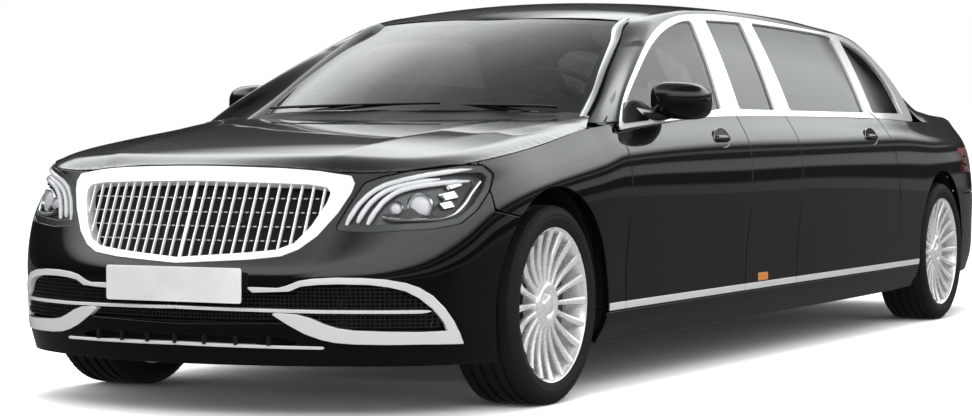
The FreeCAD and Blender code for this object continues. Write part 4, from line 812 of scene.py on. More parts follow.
def height_grid(inner, x1, y0, y1, reach, power, step=.014):
    """A height field that comes down to the body's edge within its reach."""
    x, y = np.meshgrid(np.linspace(-x1, x1, int(2 * x1 / step)), np.linspace(y0, y1, int((y1 - y0) / step)),
        indexing="ij")
    fx, fy = x.ravel(), y.ravel()
    d, ez = nearest_edge(fx, fy)
    z_in = inner(fx, fy)
    z = z_in - (z_in - ez) * (1 - np.clip(d / reach, 0, 1)) ** power
    return np.stack([x, y, z.reshape(x.shape)], 2)


def both_halves(half, middle=1):
    """A plan from its left half and the mirror image, which leaves out the middle point."""
    return np.vstack([half, (np.array(half) * (-1, 1))[::-1][middle:]])


edge_in = [tuple(q[:2] * (1 - .006, 1)) for q in EDGE_LINE]
HOOD_PLAN = both_halves([(x, y + .004) for x, y in edge_in if y < -1.95 and x >= 0] + [(.80, -1.80),
    (.762, -1.71), (.64, -1.85), (.40, -1.945), (0, -1.98)])
hood_sheet = sheet_from(height_grid(hood_inner, .95, -3.28, -1.60, .10, 2.2), (0, 0, 1))
put_panel("hood_skin", clip(hood_sheet, above(HOOD_PLAN, -INSET), outside(front(GRILLE_OUT, .004)),
    outside(lamp_view(LAMP, .004))), PAINT, "hood", "hood", depth=.012)

DECK = table(((1.95, .985, 1.02), (2.20, .985, 1.05), (2.39, .985, 1.066), (2.6, .99, 1.060),
    (2.82, .988, 1.045), (3.06, .992, 1.020), (3.155, .985, 1.006), (3.3, .985, 1.0)))


def deck_inner(x, y):
    """Height of the rear deck away from its edges."""
    ze, zc = DECK(y).T
    return zc - (zc - ze) * np.clip(np.abs(x) / .80, 0, 1.2) ** 4


deck_sheet = sheet_from(height_grid(deck_inner, .90, 1.95, 3.26, .04, 2.0, .016), (0, 0, 1))
DECK_PLAN = both_halves([(x, y) for x, y in edge_in if y > 2.05 and x >= 0], 0)


def lid_plan(y, grow):
    """A test for the boot lid's plan, from its front edge back."""
    return above(((-.61, y), (.61, y), (.61, 3.4), (-.61, 3.4)), grow)


# the lid's front edge swings forward as it opens, so the deck stops short of it
put_panel("rear_deck_skin", clip(deck_sheet, above(DECK_PLAN, -.001), outside(lid_plan(2.391, INSET)),
    lambda p: p[:, 1] - 2.08), PAINT, stands="rear_deck", depth=.012)
lid_face = sheet_from(full_nose(across(.012, spine_at(3.0), SPINE[-1], 2.2, 5, 60)[::-1]), (0, 1, .1))
put_panel("boot_lid_skin", [clip(deck_sheet, above(DECK_PLAN, -.001), lid_plan(2.403, -INSET)),
    clip(lid_face, front(LID_TAIL, -INSET))], PAINT, "boot_lid", "boot_lid", depth=.012)


# ---------------------------------------------------------------- roof, pillars and glass
# inner edge (x, y, z) of the pillars and roof sides, across from each of FRAME_TOP's points but the last
INNER_EDGE = ((.728, -1.68, .965), (.700, -1.53, 1.045), (.657, -1.335, 1.165), (.617, -1.145, 1.270),
    (.574, -.955, 1.366), (.580, -.70, 1.412), (.583, -.42, 1.437), (.583, .15, 1.452), (.578, .72, 1.446),
    (.560, 1.22, 1.422), (.527, 1.652, 1.372), (.553, 1.90, 1.270), (.585, 2.09, 1.170), (.62, 2.25, 1.085))
# outer and inner edge (x, y, z) further back, down to the boot
TAIL_EDGES = ((.815, 2.12, .984, .645, 2.35, 1.040), (.800, 2.35, .985, .67, 2.46, 1.030),
    (.780, 2.50, .986, .70, 2.52, 1.022))
CROWN = ((-1.045, 1.381), (-.70, 1.447), (-.42, 1.475), (.15, 1.4915), (.72, 1.484), (1.22, 1.459),
    (1.66, 1.405))
outer = np.array([(float(cabin_x(*q)), *q) for q in FRAME_TOP[:-1]] + [q[:3] for q in TAIL_EDGES])
inner_edge = np.array([q[-3:] for q in INNER_EDGE + TAIL_EDGES])


def row_curve(points, per=10):
    """Smooth curve through rows, with the same number of points between each two."""
    p = np.asarray(points, float)
    k = np.arange(len(p), dtype=float)
    s = lengths(p)
    m = pchip_slopes(s, p)
    m[0], m[-1] = (p[1] - p[0]) / (s[1] - s[0]), (p[-1] - p[-2]) / (s[-1] - s[-2])
    return hermite(s, p, m, np.interp(np.linspace(0, len(p) - 1, (len(p) - 1) * per + 1), k, s))


PER = 12
O_ROW, K_ROW = row_curve(outer, PER), row_curve(inner_edge, PER)
C_ROW = row_curve([(0, y, z) for y, z in CROWN], PER)
ROOF_0, ROOF_1 = 4 * PER, 10 * PER
out_dir = unit(np.array([-.5065, 0, .862]))
pillar_dir, roof_dir, back_dir = (unit(np.array(v, float))
    for v in ((-.95, -.25, .15), (-.99, 0, .14), (-.97, .2, .1)))


def blend_dir(i):
    """Direction across the roof at a row, from pillar to roof to rear pillar."""
    t = np.clip((i - ROOF_0 + PER) / PER, 0, 1)
    u = np.clip((i - ROOF_1 + PER) / PER, 0, 1)
    return unit(pillar_dir * (1 - t) + roof_dir * t * (1 - u) + back_dir * u)


def column(a, b, da, db, n):
    """A curve between two points that sets off and arrives in given directions."""
    size = np.linalg.norm(b - a)
    return hermite(np.arange(2.0), np.array([a, b]), size * np.array([da, db]), np.linspace(0, 1, n))


strip = np.array([column(O_ROW[i], K_ROW[i], out_dir * (.55 if i < ROOF_0 - PER else 1), blend_dir(i), 9)
    for i in range(len(O_ROW))])
roof = np.array([column(K_ROW[i], C_ROW[i - ROOF_0], blend_dir(i), np.array([-1.0, 0, 0]), 22)
    for i in range(ROOF_0, ROOF_1 + 1)])
half = np.concatenate([strip[ROOF_0:ROOF_1 + 1, :-1], roof], 1)


def full_width(g):
    """A grid that ends on the car's middle line, joined to its mirror image."""
    return np.concatenate([g, (g * (-1, 1, 1))[:, ::-1][:, 1:]], 1)


THIN = dict(depth=.010, roll=.001, mirror=True)
put_panel("roof_skin", sheet_from(full_width(half), (0, 0, 1)), PAINT, stands="roof_panel", depth=.012,
    roll=.001)
put_panel("windscreen_pillars", sheet_from(strip[:ROOF_0 + 1], (1, -.5, 1)), PAINT, **THIN)
put_panel("rear_pillars", sheet_from(strip[ROOF_1:], (1, .5, 1)), PAINT, **THIN)

edge_a = K_ROW[:ROOF_0 + 1] + np.array([.002, -.008, .014])
edge_b = K_ROW[:ROOF_0 + 1] + np.array([-.043, -.004, .002])
moulding = np.stack([edge_a + (edge_b - edge_a) * t + np.array([0, -.003, .003]) * math.sin(pi * t)
    for t in np.linspace(0, 1, 6)], 1)
put_panel("windscreen_mouldings", sheet_from(moulding, (-.3, -.6, .7)), DARK_CHROME, depth=.012, mirror=True)


def cross_pane(foot, top, bulge, rows, cols):
    """Curved pane from a half foot line to a half top line."""
    f, t = np.array(foot, float), np.array(top, float)
    f = spline(np.vstack([(f * (-1, 1, 1))[::-1], f[1:]]), cols)
    t = spline(np.vstack([(t * (-1, 1, 1))[::-1], t[1:]]), cols)
    k = np.linspace(0, 1, rows)[:, None, None]
    g = f[None] * (1 - k) + t[None] * k
    run = unit(t - f)
    out = unit(np.cross(run, np.array([1.0, 0, 0])))
    out = out * np.sign(out[:, 2:3])
    return g + out[None] * 4 * bulge * k * (1 - k)


def border(g, width):
    """1 for the faces of a grid that lie that near its border."""
    r, c = g.shape[0] - 1, g.shape[1] - 1
    i, j = np.meshgrid(np.arange(r), np.arange(c), indexing="ij")
    return ((i < width) | (i >= r - width) | (j < width) | (j >= c - width)).ravel().astype(int)


for name, node_, foot, top, bulge, mat in (
        ("windscreen_glass", "windscreen", ((0, -1.84, 1.01), (.4, -1.78, 1.008), (.714, -1.608, .997)),
            ((0, -1.04, 1.38), (.3, -1.018, 1.376), (.567, -.951, 1.363)), .020, CLEAR),
        ("rear_window_glass", "rear_window", ((0, 2.393, 1.067), (.33, 2.383, 1.062), (.64, 2.33, 1.036)),
            ((0, 1.655, 1.405), (.28, 1.65, 1.396), (.525, 1.655, 1.371)), .030, TINT)):
    g = cross_pane(foot, top, bulge, 36, 60)
    p, f = sheet_from(g, (0, -1 if node_ == "windscreen" else 1, 1))
    put(name, p[:, :3], f, mat, "root", node_, normals=p[:, 3:6], mats=[mat, FRIT], index=border(g, 2))


# side windows: chrome frames and panes on their own bodies
def pane(outline):
    """A side window's pane."""
    return clip(cabin_grid(-1.7, 1.95, 1.0, 1.43, .05, .03, .010, .014), side(outline, .004))


PANE = dict(depth=.004, roll=.0005)
for door, row, right_side in each_door():
    put_panel(door + "_pane", pane(FRONT_GLASS if row == "front" else REAR_GLASS),
        SIDE_GLASS if row == "front" else TINT, door, door + "_glass", flip=right_side, **PANE)
put_panel("fixed_side_panes", [pane(BAY_GLASS), pane(QUARTER_GLASS)], TINT, stands="side_glass", mirror=True,
    **PANE)


def round_glass(grow):
    """Tests that leave out the side windows."""
    return [outside(side(o, grow)) for o in (FRONT_GLASS, BAY_GLASS, REAR_GLASS, QUARTER_GLASS)]


def split_by_door(name, fixed_name, sheet, mat, depth, roll):
    """What lies in a door's outline rides on that door, the rest on the body."""
    for door, row, right_side in each_door():
        put_panel("%s_%s" % (door, name), clip(sheet, lip(side(DOOR[row]))), mat, door, depth=depth,
            roll=roll, flip=right_side)
    put_panel(fixed_name, [clip(sheet, lip(side(BAY))), clip(sheet, lip(side(BEHIND)))], mat, depth=depth,
        roll=roll, mirror=True)


surround = clip(cabin_grid(-1.80, 2.02, .93, 1.44, .016, .010, -.002, .012), side(FRAME, -.001),
    *round_glass(0.0))
split_by_door("chrome", "fixed_side_chrome", surround, CHROME, .010, .0015)
# dark core of the posts and seals behind the chrome
posts_core = clip(cabin_grid(-1.78, 1.98, 1.0, 1.43, .03, .02, .016, .03), side(FRAME), *round_glass(.006))
split_by_door("window_seals", "fixed_window_seals", posts_core, SEAL, .008, .0005)


# ---------------------------------------------------------------- nose: grille, bumper chrome, meshes
def lifted(sheet, height):
    """A sheet moved out along its normals."""
    p, f = sheet
    p = p.copy()
    p[:, :3] += p[:, 3:6] * height
    return p, f


fine = body(np.linspace(0, spine_at(-2.80), 230), np.linspace(.35, 5, 200))
FINE = sheet_from(full_nose(fine), away_from(NOSE_MID))


def nose_piece(name, tests, mat, lift, depth, stands=None):
    """A part cut out of the nose's surface and lifted off it."""
    return put_panel(name, lifted(clip(FINE, *tests), lift), mat, stands=stands, depth=depth)


nose_piece("grille_surround", (front(GRILLE_OUT, -.003), outside(front(GRILLE_IN))), CHROME, .003, .04,
    "radiator_grille")
NOSE_POINTS = body(np.linspace(0, spine_at(-2.9), 120), np.linspace(2.5, 5, 60)).reshape(-1, 3)


def on_nose(x, z):
    """The body's y at places in the front view."""
    x, z = np.abs(np.atleast_1d(x))[:, None], np.atleast_1d(z)[:, None]
    d = (NOSE_POINTS[None, :, 0] - x) ** 2 + (NOSE_POINTS[None, :, 2] - z) ** 2
    j = np.argsort(d, 1)[:, :4]
    w = 1 / (np.take_along_axis(d, j, 1) + 1e-7)
    return (w * NOSE_POINTS[j, 1]).sum(1) / w.sum(1)


BAR_PITCH, MIDDLE_BAR, BAR = .0375, .0060, .0031       # spacing and half widths of the grille's bars
SPLIT = 16              # points along a bar
bars = Build()
grille_in = signed(GRILLE_IN)
zz = np.linspace(.50, .78, 281)     # heights tried for a bar's ends
for n in range(-12, 13):
    x = n * BAR_PITCH
    ok = grille_in(np.full(len(zz), x), zz) > -.004
    if not ok.any():
        continue
    z = np.linspace(zz[ok][0], zz[ok][-1], SPLIT)
    y = on_nose(np.full(SPLIT, x), z)
    w = MIDDLE_BAR if n == 0 else BAR
    section = [(-w, .010), (-w, .003), (-w * .5, 0), (w * .5, 0), (w, .003), (w, .010)]
    v = np.array([[(x + a, yy + b + .006, q) for a, b in section] for yy, q in zip(y, z)])
    bars.add(v.reshape(-1, 3), grid(SPLIT, 6, wrap_c=True))
bars.put("grille_bars", CHROME, angle=40)


def block(x, y, z, half_size):
    """A straight-sided block."""
    v = [np.array((x, y, z)) + np.array(half_size) * (i, j, k) for i in (-1, 1) for j in (-1, 1)
        for k in (-1, 1)]
    return v, [(0, 1, 3, 2), (4, 6, 7, 5), (0, 4, 5, 1), (2, 3, 7, 6), (0, 2, 6, 4), (1, 5, 7, 3)]


ticks = Build()
for z in (.575, .62, .665, .71):
    for n in range(-24, 24):
        x = (n + .5) * BAR_PITCH / 2
        if grille_in(np.array([x]), np.array([z]))[0] > .006:
            ticks.add(*block(x, float(on_nose(x, z)[0]) + .030, z, (.0055, .003, .0018)))
ticks.put("grille_ticks", CHROME)
# a near-black sheet behind the grille bars: painted shade in the opening
nose_piece("grille_painted_shade", (front(GRILLE_OUT, -.006),), PAINTED_SHADE, -.048, .004)

# lower bumper
C_TOP = ((.264, .429), (.362, .427), (.388, .433), (.43, .45), (.471, .457), (.54, .461), (.617, .46),
    (.682, .455), (.734, .444), (.767, .429), (.798, .402), (.823, .362), (.841, .318), (.852, .28),
    (.857, .247))
BAND_LOW = ((.34, .345), (.388, .314), (.44, .285), (.491, .266), (.53, .257), (.589, .252), (.682, .25),
    (.767, .25), (.857, .247))
C_SHAPE = (*C_TOP, *BAND_LOW[::-1], (.367, .346), *EDGE_LOW, (.767, .286), (.83, .287), (.83, .29),
    *EDGE_HIGH[::-1], (.281, .415))
MID = ((0, .3635), (.49, .3565), (.771, .3555), (.80, .3535), (.771, .3485), (.49, .3495), (0, .3565))
LOW_LINE = ((0, .2465), (.49, .2405), (.50, .2375), (.49, .2345), (0, .2395))
nose_piece("bumper_chrome", (both_sides(C_SHAPE),), CHROME, .004, .02)
nose_piece("bumper_mid_line", (both_sides(MID),), CHROME, .0, .012)
nose_piece("bumper_low_line", (both_sides(LOW_LINE),), CHROME, .003, .012)
# near-black sheets behind the intake and the lower slot: painted shade in the openings
nose_piece("intake_painted_shade", (front(INTAKE, .006),), PAINTED_SHADE, -.045, .004)
nose_piece("slot_painted_shade", (front(SLOT_LOW, .006),), PAINTED_SHADE, -.03, .004)
ribs = Build()
RIB_Z = .258
for x in (-.33, -.22, -.11, 0, .11, .22, .33):
    ribs.add(*block(x, float(on_nose(x, RIB_Z)[0]) + .006, RIB_Z, (.003, .009, .0145)))
ribs.put("slot_ribs", BLACK_MATTE)
mesh_bars = Build()
intake = signed(INTAKE)


def mesh_line(a, b, w=.0016, deep=.008):
    """A thin bar along a straight line in the front view, laid just behind the opening."""
    a, b = np.array(a), np.array(b)
    n = max(2, int(np.hypot(*(b - a)) / .02) + 1)
    p = a + (b - a) * np.linspace(0, 1, n)[:, None]
    p = p[intake(p[:, 0], p[:, 1]) > .0]
    if len(p) < 2:
        return
    dx, dz = (w, 0) if abs(b[0] - a[0]) < 1e-6 else (0, w)
    v = [[(x + s * dx, y + back, z + s * dz) for s, back in ((-1, 0), (1, 0), (1, deep), (-1, deep))]
        for (x, z), y in zip(p, on_nose(p[:, 0], p[:, 1]) + .022)]
    mesh_bars.add(np.array(v).reshape(-1, 3), grid(len(p), 4, wrap_c=True))


for x in np.arange(-.83, .831, .0135):
    mesh_line([x, .285], [x, .445])
for z in np.arange(.29, .44, .0125):
    mesh_line([-.83, z], [.83, z])
mesh_bars.put("intake_mesh", MESH_BLACK)


def rectangle(cx, cz, half_x, half_z, radius, *more):
    """A rounded rectangle in the front view."""
    return fillet([(cx + i * half_x, cz + j * half_z) for i, j in ((-1, -1), (1, -1), (1, 1), (-1, 1))],
        radius, *more)


for name, y, z, sign in (("front_plate", -3.250, .435, -1), ("rear_plate", 3.250, .52, 1)):
    a, c = rectangle(0, 0, .26, .0565, .010, 20, 6), rectangle(0, 0, .2575, .054, .008, 20, 6)
    n = len(a)
    v = [(q[0], y + sign * d, z + q[1]) for loop, d in ((a, 0), (a, .0045), (c, .0058)) for q in loop]
    f = grid(3, n, wrap_c=True) + [list(range(2 * n, 3 * n))[::-sign], list(range(n))[::sign]]
    if sign > 0:
        f = reversed_(f[:2 * n]) + f[2 * n:]
    put(name, v, f, PLATE, "root", "number_plates", angle=30)


# ---------------------------------------------------------------- headlamps
lamp_grid = body(np.linspace(.36, spine_at(-2.60), 200), np.linspace(3.2, 5, 110))
lamp_n = grid_normals(lamp_grid)
lamp_n = lamp_n * np.sign(np.sum(lamp_n * np.array([.77, -.64, .1]), 2, keepdims=True))
LP, LN = lamp_grid.reshape(-1, 3), lamp_n.reshape(-1, 3)
LW = np.stack([LP[:, 0] * C40 + LP[:, 1] * S40, LP[:, 2]], 1)


def on_lamp(points, depth=0.0):
    """Points of the lamps' view carried onto the body, that far inside it."""
    out = []
    for q in np.atleast_2d(points):
        d = np.sum((LW - q) ** 2, 1)
        j = np.argsort(d)[:6]
        w = 1 / (d[j] + 1e-8)
        w /= w.sum()
        out.append((w[:, None] * LP[j]).sum(0) - unit((w[:, None] * LN[j]).sum(0)) * depth)
    return np.array(out)


def tube(path, radius, sides=10, closed=False, squash=1.0, up=(0, 0, 1)):
    """A round bar along a path, with domed ends; radius may be a list."""
    p = np.asarray(path, float)
    n = len(p)
    r = np.full(n, radius) if np.isscalar(radius) else np.asarray(radius, float)
    t = unit(np.gradient(p, axis=0)) if not closed else unit(np.roll(p, -1, 0) - np.roll(p, 1, 0))
    a = unit(np.cross(t, np.asarray(up, float)) + 1e-9)
    b = np.cross(a, t)
    ang = ring_of(sides)[None, :, None]
    v = p[:, None] + (a[:, None] * np.cos(ang) + b[:, None] * squash * np.sin(ang)) * r[:, None, None]
    f = grid(n, sides, wrap_r=closed, wrap_c=True)
    v = v.reshape(-1, 3)
    if not closed:
        f += [list(range(sides))[::-1], list(range((n - 1) * sides, n * sides))]
    return v, f


def turned(profile, centre, axis, segments=40):
    """A (distance along, radius) profile turned about an axis."""
    axis = unit(np.asarray(axis, float))
    a = unit(np.cross(axis, (0, 0, 1)))
    b = np.cross(axis, a)
    ang = ring_of(segments)[:, None]
    v = [np.asarray(centre) + axis * h + (a * np.cos(ang) + b * np.sin(ang)) * r for h, r in profile]
    return np.vstack(v), grid(len(profile), segments, wrap_c=True)


BEAM = np.array([.35, -.93, .02])       # the way the lamps look
GRID_OUT = (1, -1, .2)
lamp_sheet = sheet_from(lamp_grid, GRID_OUT)
put_panel("headlamp_lenses", clip(lamp_sheet, lamp_view(LAMP, -.001)), LENS, stands="headlamps", depth=.008,
    roll=.001, mirror=True)


def lamp_part(name, tests, deep, mat, depth, roll):
    """A part of both lamps, cut out of the body's surface and sunk into it."""
    put_panel(name, lifted(clip(lamp_sheet, *tests), -deep), mat, depth=depth, roll=roll, mirror=True)


lamp_part("headlamp_bowls", (lamp_view(LAMP, .004),), .036, LAMP_GREY, .003, .001)
lamp_part("headlamp_edges", (lamp_view(LAMP, -.0015), outside(lamp_view(LAMP, -.020))), .007, LAMP_EDGE,
    .028, .003)
DARK_CELL = fillet(((-1.246, .650), (-1.196, .668), (-1.140, .735), (-1.122, .775), (-1.160, .782),
    (-1.235, .728), (-1.290, .668)), .01, 20)
LOW_CELL = fillet(((-1.462, .668), (-1.405, .672), (-1.352, .688), (-1.300, .662), (-1.246, .656),
    (-1.330, .646), (-1.430, .652)), .006, 20)
for name, cell in (("headlamp_dark_cells", DARK_CELL), ("headlamp_low_cells", LOW_CELL)):
    lamp_part(name, (lamp_view(cell),), .030, LAMP_DARK, .004, .002)
STRIPS = (((-1.563, .630), (-1.512, .704), (-1.46, .746), (-1.386, .772), (-1.277, .793), (-1.134, .808)),
    ((-1.528, .638), (-1.481, .704), (-1.429, .741), (-1.354, .762), (-1.254, .777)),
    ((-1.497, .632), (-1.458, .690), (-1.413, .728), (-1.343, .752), (-1.250, .764), (-1.150, .770)))
guides = Build()
taper_ = np.interp(np.linspace(0, 1, 36), [0, .06, .85, 1], [.7, 1.15, 1.05, .4])
for s in STRIPS:
    guides.add(*tube(on_lamp(spline(s, 36), .010), .0075 * taper_, 10))
guides.mirror().put("headlamp_light_guides", LIGHT_GUIDE)
inner_parts, bulbs = Build(), Build()
for place, r in (((-1.321, .698), .034), ((-1.405, .690), .019)):
    c = on_lamp(place, .034)[0]
    inner_parts.add(*turned([(-.02, r * 1.25), (.012, r * 1.25), (.016, r * 1.12), (.010, r * 1.02),
        (-.004, r * .98)], c, BEAM))
    bulbs.add(*turned([(.002 + .014 * math.cos(a), r * math.sin(a)) for a in np.linspace(pi / 2, .02, 9)], c,
        BEAM))
for quad in (((-1.236, .763), (-1.190, .779), (-1.170, .757), (-1.220, .742)),
        ((-1.258, .731), (-1.203, .742), (-1.187, .718), (-1.240, .706)),
        ((-1.266, .700), (-1.217, .709), (-1.203, .688), (-1.248, .679))):
    a, b = on_lamp(quad, .022), on_lamp(quad, .012)
    m = b.mean(0)
    inner_parts.add(np.vstack([a, m + (b - m) * .82]), grid(2, 4, wrap_c=True) + [[4, 5, 6, 7]])
j_line = on_lamp(spline(((-1.45, .658), (-1.429, .651), (-1.332, .647), (-1.231, .656), (-1.183, .685),
    (-1.147, .728), (-1.108, .77)), 40), .016)
inner_parts.add(*tube(j_line, .0065, 8))
inner_parts.mirror().put("headlamp_reflectors", REFLECT)
bulbs.mirror().put("headlamp_projectors", LIGHT_GUIDE)


# ---------------------------------------------------------------- wheels
def on_wheel(y, x, r, a):
    """A point at a radius and angle round the axle at y."""
    return x, y + r * math.cos(a), WHEEL_R + r * math.sin(a)


def lathe(profile, x_sign, y, segments):
    """A closed (x, radius) profile turned about a wheel's axle."""
    v = np.array([[on_wheel(y, x * x_sign, r, a) for x, r in profile] for a in ring_of(segments)])
    f = grid(segments, len(profile), True, True)
    return v.reshape(-1, 3), f if x_sign < 0 else reversed_(f)


TREAD_CUTS, BLADES, BOLTS, HOLES = 72, 20, 5, 36


def tyre(sign, y, who):
    """Tyre with shoulder, sidewall ridges and four grooves."""
    half, mid, crown = .1225, .814, .3395
    prof = [(mid - half + d, r) for d, r in ((.008, .262), (.003, .285), (0, .305), (.006, .322),
        (.018, .333), (.030, .337))]
    for g in (-.062, -.022, .022, .062):
        prof += [(mid + g + d, crown - deep) for d, deep in ((-.007, 0), (-.0055, .007), (.0055, .007),
            (.007, 0))]
    prof += [(mid + half - d, r) for d, r in ((.030, .337), (.018, .333), (.006, .322), (.001, .312),
        (.0005, .305), (.0018, .3035), (0, .300), (.001, .288), (.003, .284), (.004, .276), (.006, .270),
        (.012, .262))]
    b = Build().add(*lathe(prof, sign, y, 144))
    # cross cuts of the tread's two shoulder ribs as low blocks
    for n in range(TREAD_CUTS):
        a0 = 2 * pi * n / TREAD_CUTS
        for side_ in (-1, 1):
            x0, x1 = mid + side_ * .075, mid + side_ * .104
            v = [on_wheel(y, x * sign, r, a) for a in (a0, a0 + 2 * pi / TREAD_CUTS * .80)
                for x, r in ((x0, .3355), (x0, .3399), (x1, .3368), (x1, .3325))]
            fs = [(0, 1, 5, 4), (1, 2, 6, 5), (2, 3, 7, 6), (0, 3, 2, 1), (4, 5, 6, 7)]
            b.add(v, fs if sign * side_ > 0 else reversed_(fs))
    b.put(who + "_tyre_tread", TYRE, who + "_wheel", who + "_tyre", angle=32)


def rim(sign, y, who):
    """Rim with twenty blades, hub, bolts, and the brake disc behind it."""
    b = Build()
    b.add(*lathe([(.705, .248), (.705, .271), (.712, .2715), (.716, .258), (.80, .250), (.905, .256),
        (.912, .266), (.918, .2715), (.9255, .2715), (.9275, .268), (.925, .262), (.919, .2555),
        (.905, .250), (.80, .244), (.72, .244)], sign, y, 120))
    b.add(*lathe([(.845, .0), (.845, .078), (.896, .080), (.905, .074), (.909, .062), (.904, .045),
        (.900, .036), (.9075, .033), (.911, .028), (.912, 0)], sign, y, 80))
    # each blade is a lofted bar that widens to the lip and bows outward
    f = grid(9, 8, wrap_c=True)
    for n in range(BLADES):
        a = 2 * pi * n / BLADES
        rows = []
        for t in np.linspace(0, 1, 9):
            x, w, d = .896 + .026 * t - .012 * math.sin(pi * t), .0085 + .0055 * t ** 1.6, .026 - .010 * t
            section = [(-w * .55, -d), (-w, -.006), (-w * .80, 0), (-w * .25, .0022), (w * .25, .0022),
                (w * .80, 0), (w, -.006), (w * .55, -d)]
            centre = on_wheel(y, 0, .066 + (.256 - .066) * t, a)
            rows.append([((x + dx) * sign, centre[1] - q * math.sin(a), centre[2] + q * math.cos(a))
                for q, dx in section])
        b.add(np.array(rows).reshape(-1, 3), f if sign > 0 else reversed_(f))
    for n in range(BOLTS):
        c = on_wheel(y, .901 * sign, .0555, 2 * pi * (n + .5) / BOLTS)
        b.add(*turned([(-.012, .0125), (-.001, .0125), (.0, .010), (-.004, .008), (-.004, .0075),
            (.003, .0070), (.004, 0.0)], c, (sign, 0, 0), 12))
    b.put(who + "_rim_spokes", WHEEL, who + "_wheel", who + "_rim", angle=38)
    d = Build()
    d.add(*lathe([(.792, .075), (.792, .187), (.800, .188), (.802, .186), (.8025, .180), (.8035, .180),
        (.812, .180), (.814, .186), (.8145, .188), (.822, .187), (.822, .075)], sign, y, 96))
    # cooling holes as a ring of studs in painted shade
    for n in range(HOLES):
        for r in (.115, .14, .165):
            c = on_wheel(y, .8222 * sign, r, 2 * pi * (n + (r > .12) * .5) / HOLES)
            d.add(*turned([(0, .0035), (.0006, .0030), (.0006, 0)], c, (sign, 0, 0), 6), 1)
    d.put(who + "_brake_disc_spokes", IRON, who + "_wheel", mats=[IRON, PAINTED_SHADE], angle=30)


for end, y in (("front", FRONT_AXLE), ("rear", REAR_AXLE)):
    for sign, lr in SIDES:
        tyre(sign, y, "%s_%s" % (end, lr))
        rim(sign, y, "%s_%s" % (end, lr))


# ---------------------------------------------------------------- trim on the doors and sills
def side_strip(y0, y1, z0, z1, lift=.0025):
    """A piece of the left side between two y and two heights, lifted off it."""
    s = sheet_from(across(.02, spine_at(y0), spine_at(y1), .8, 3.2, 110), (1, 0, .1))
    return lifted(clip(s, over(z0), over(z1, -1), lambda p: p[:, 1] - y0, lambda p: y1 - p[:, 1]), lift)


def sill_strip(y0, y1, outline, *tests):
    """The bright strip along the sill, as far as an outline reaches."""
    return clip(side_strip(y0, y1, .296, .319), lip(side(outline)), *tests)


STRIP = dict(depth=.006, roll=.0015)
for door, row, right_side in each_door():
    span = (-1.9, -.5) if row == "front" else (-.2, 1.45)
    put_panel(door + "_sill_chrome", sill_strip(*span, DOOR[row]), CHROME, door, flip=right_side, **STRIP)
put_panel("body_sill_chrome", [sill_strip(-.75, .2, BAY),
    sill_strip(-2.0, -1.7, AHEAD, arch_test(FRONT_AXLE, .415)),
    sill_strip(1.2, 1.70, BEHIND, arch_test(REAR_AXLE, .41))], CHROME, mirror=True, **STRIP)


def at_height(s, v0, v1, z):
    """The point of the left side nearest a height, between two rings at a spine length."""
    column_ = body([s], np.linspace(v0, v1, 80))[0]
    return column_[np.abs(column_[:, 2] - z).argmin()]


def fan(n):
    """Triangles from a ring of n points to one in the middle."""
    return [(i, (i + 1) % n, n) for i in range(n)]


def put_sided(name, v, faces, right_side, *more, **options):
    """A piece on the left side, or its mirror image on the right."""
    if right_side:
        v, faces = v * (-1, 1, 1), reversed_(faces)
    put(name, v, faces, *more, **options)


# handles: an oval recess with a chrome ring and a bar across it
OVAL_LONG, OVAL_HIGH, SIDE_SLOPE = .079, .040, .30
for door, row, right_side in each_door():
    y, z = (-.816, .906) if row == "front" else (1.012, .912)
    name = door.replace("door", "handle")
    c = np.array([at_height(spine_at(y), 3, 5, z)[0], y, z])
    n_dir = unit(np.array([1, 0, SIDE_SLOPE]))
    u_dir, v_dir = np.array([0, 1.0, 0]), -unit(np.cross([1, 0, SIDE_SLOPE], [0, 1.0, 0]))
    loop = [c + u_dir * OVAL_LONG * math.cos(a) + v_dir * OVAL_HIGH * math.sin(a) + n_dir * .0012
        for a in ring_of(40)]
    put_sided(name + "_recess", np.array(loop + [c + n_dir * .0010]), fan(40), right_side, BLACK_GLOSS, door)
    put_sided(name + "_ring", *tube(loop, .0016, 8, True, up=n_dir), right_side, DARK_CHROME, door)
    reach = np.linspace(-1, 1, 17)
    bar = [c + u_dir * t * .076 + v_dir * .004 + n_dir * (.002 + .008 * (1 - t ** 4)) for t in reach]
    thick = np.interp(reach, [-1, -.8, .8, 1], [.006, .0125, .0125, .006])
    put_sided(name, *tube(bar, thick, 12, squash=.5, up=n_dir), right_side, BLACK_GLOSS, door)
put_panel("side_markers", side_strip(-.478, -.376, .327, .355, .003), AMBER, depth=.008, mirror=True)


# ---------------------------------------------------------------- mirrors
def superball(power, rows, cols):
    """Points of a rounded unit block, the last coordinate along its poles, and its faces."""
    def sg(w):
        return math.copysign(abs(w) ** power, w)
    v = [(sg(math.cos(t)) * sg(math.cos(a)), sg(math.cos(t)) * sg(math.sin(a)), sg(math.sin(t)))
        for t in -pi / 2 + pi * np.arange(rows + 1) / rows for a in 2 * pi * np.arange(cols) / cols]
    return np.array(v), grid(rows + 1, cols, wrap_c=True)


def blunted(a, power=.6):
    """Cosine and sine of an angle, for a circle with squarer corners."""
    return [math.copysign(abs(w) ** power, w) for w in (math.cos(a), math.sin(a))]


BLUNT = -1.243          # the mirror shells are nearly flat behind this y
v, shell_faces = superball(.66, 18, 32)
shell = np.stack([.954 + .100 * v[:, 2], -1.310 + .088 * v[:, 0] + .030 * v[:, 2],
    1.046 + .071 * v[:, 1] - .006 * v[:, 2]], 1)
shell[:, 1] = np.where(shell[:, 1] > BLUNT, BLUNT + (shell[:, 1] - BLUNT) * .1, shell[:, 1])
arm = spline([(.858, -1.47, .990), (.872, -1.42, .986), (.895, -1.37, .988), (.930, -1.32, 1.0)], 12)
pane_ring = [(.957 + .080 * c, -1.2395, 1.046 + .058 * s_) for c, s_ in map(blunted, ring_of(36))]
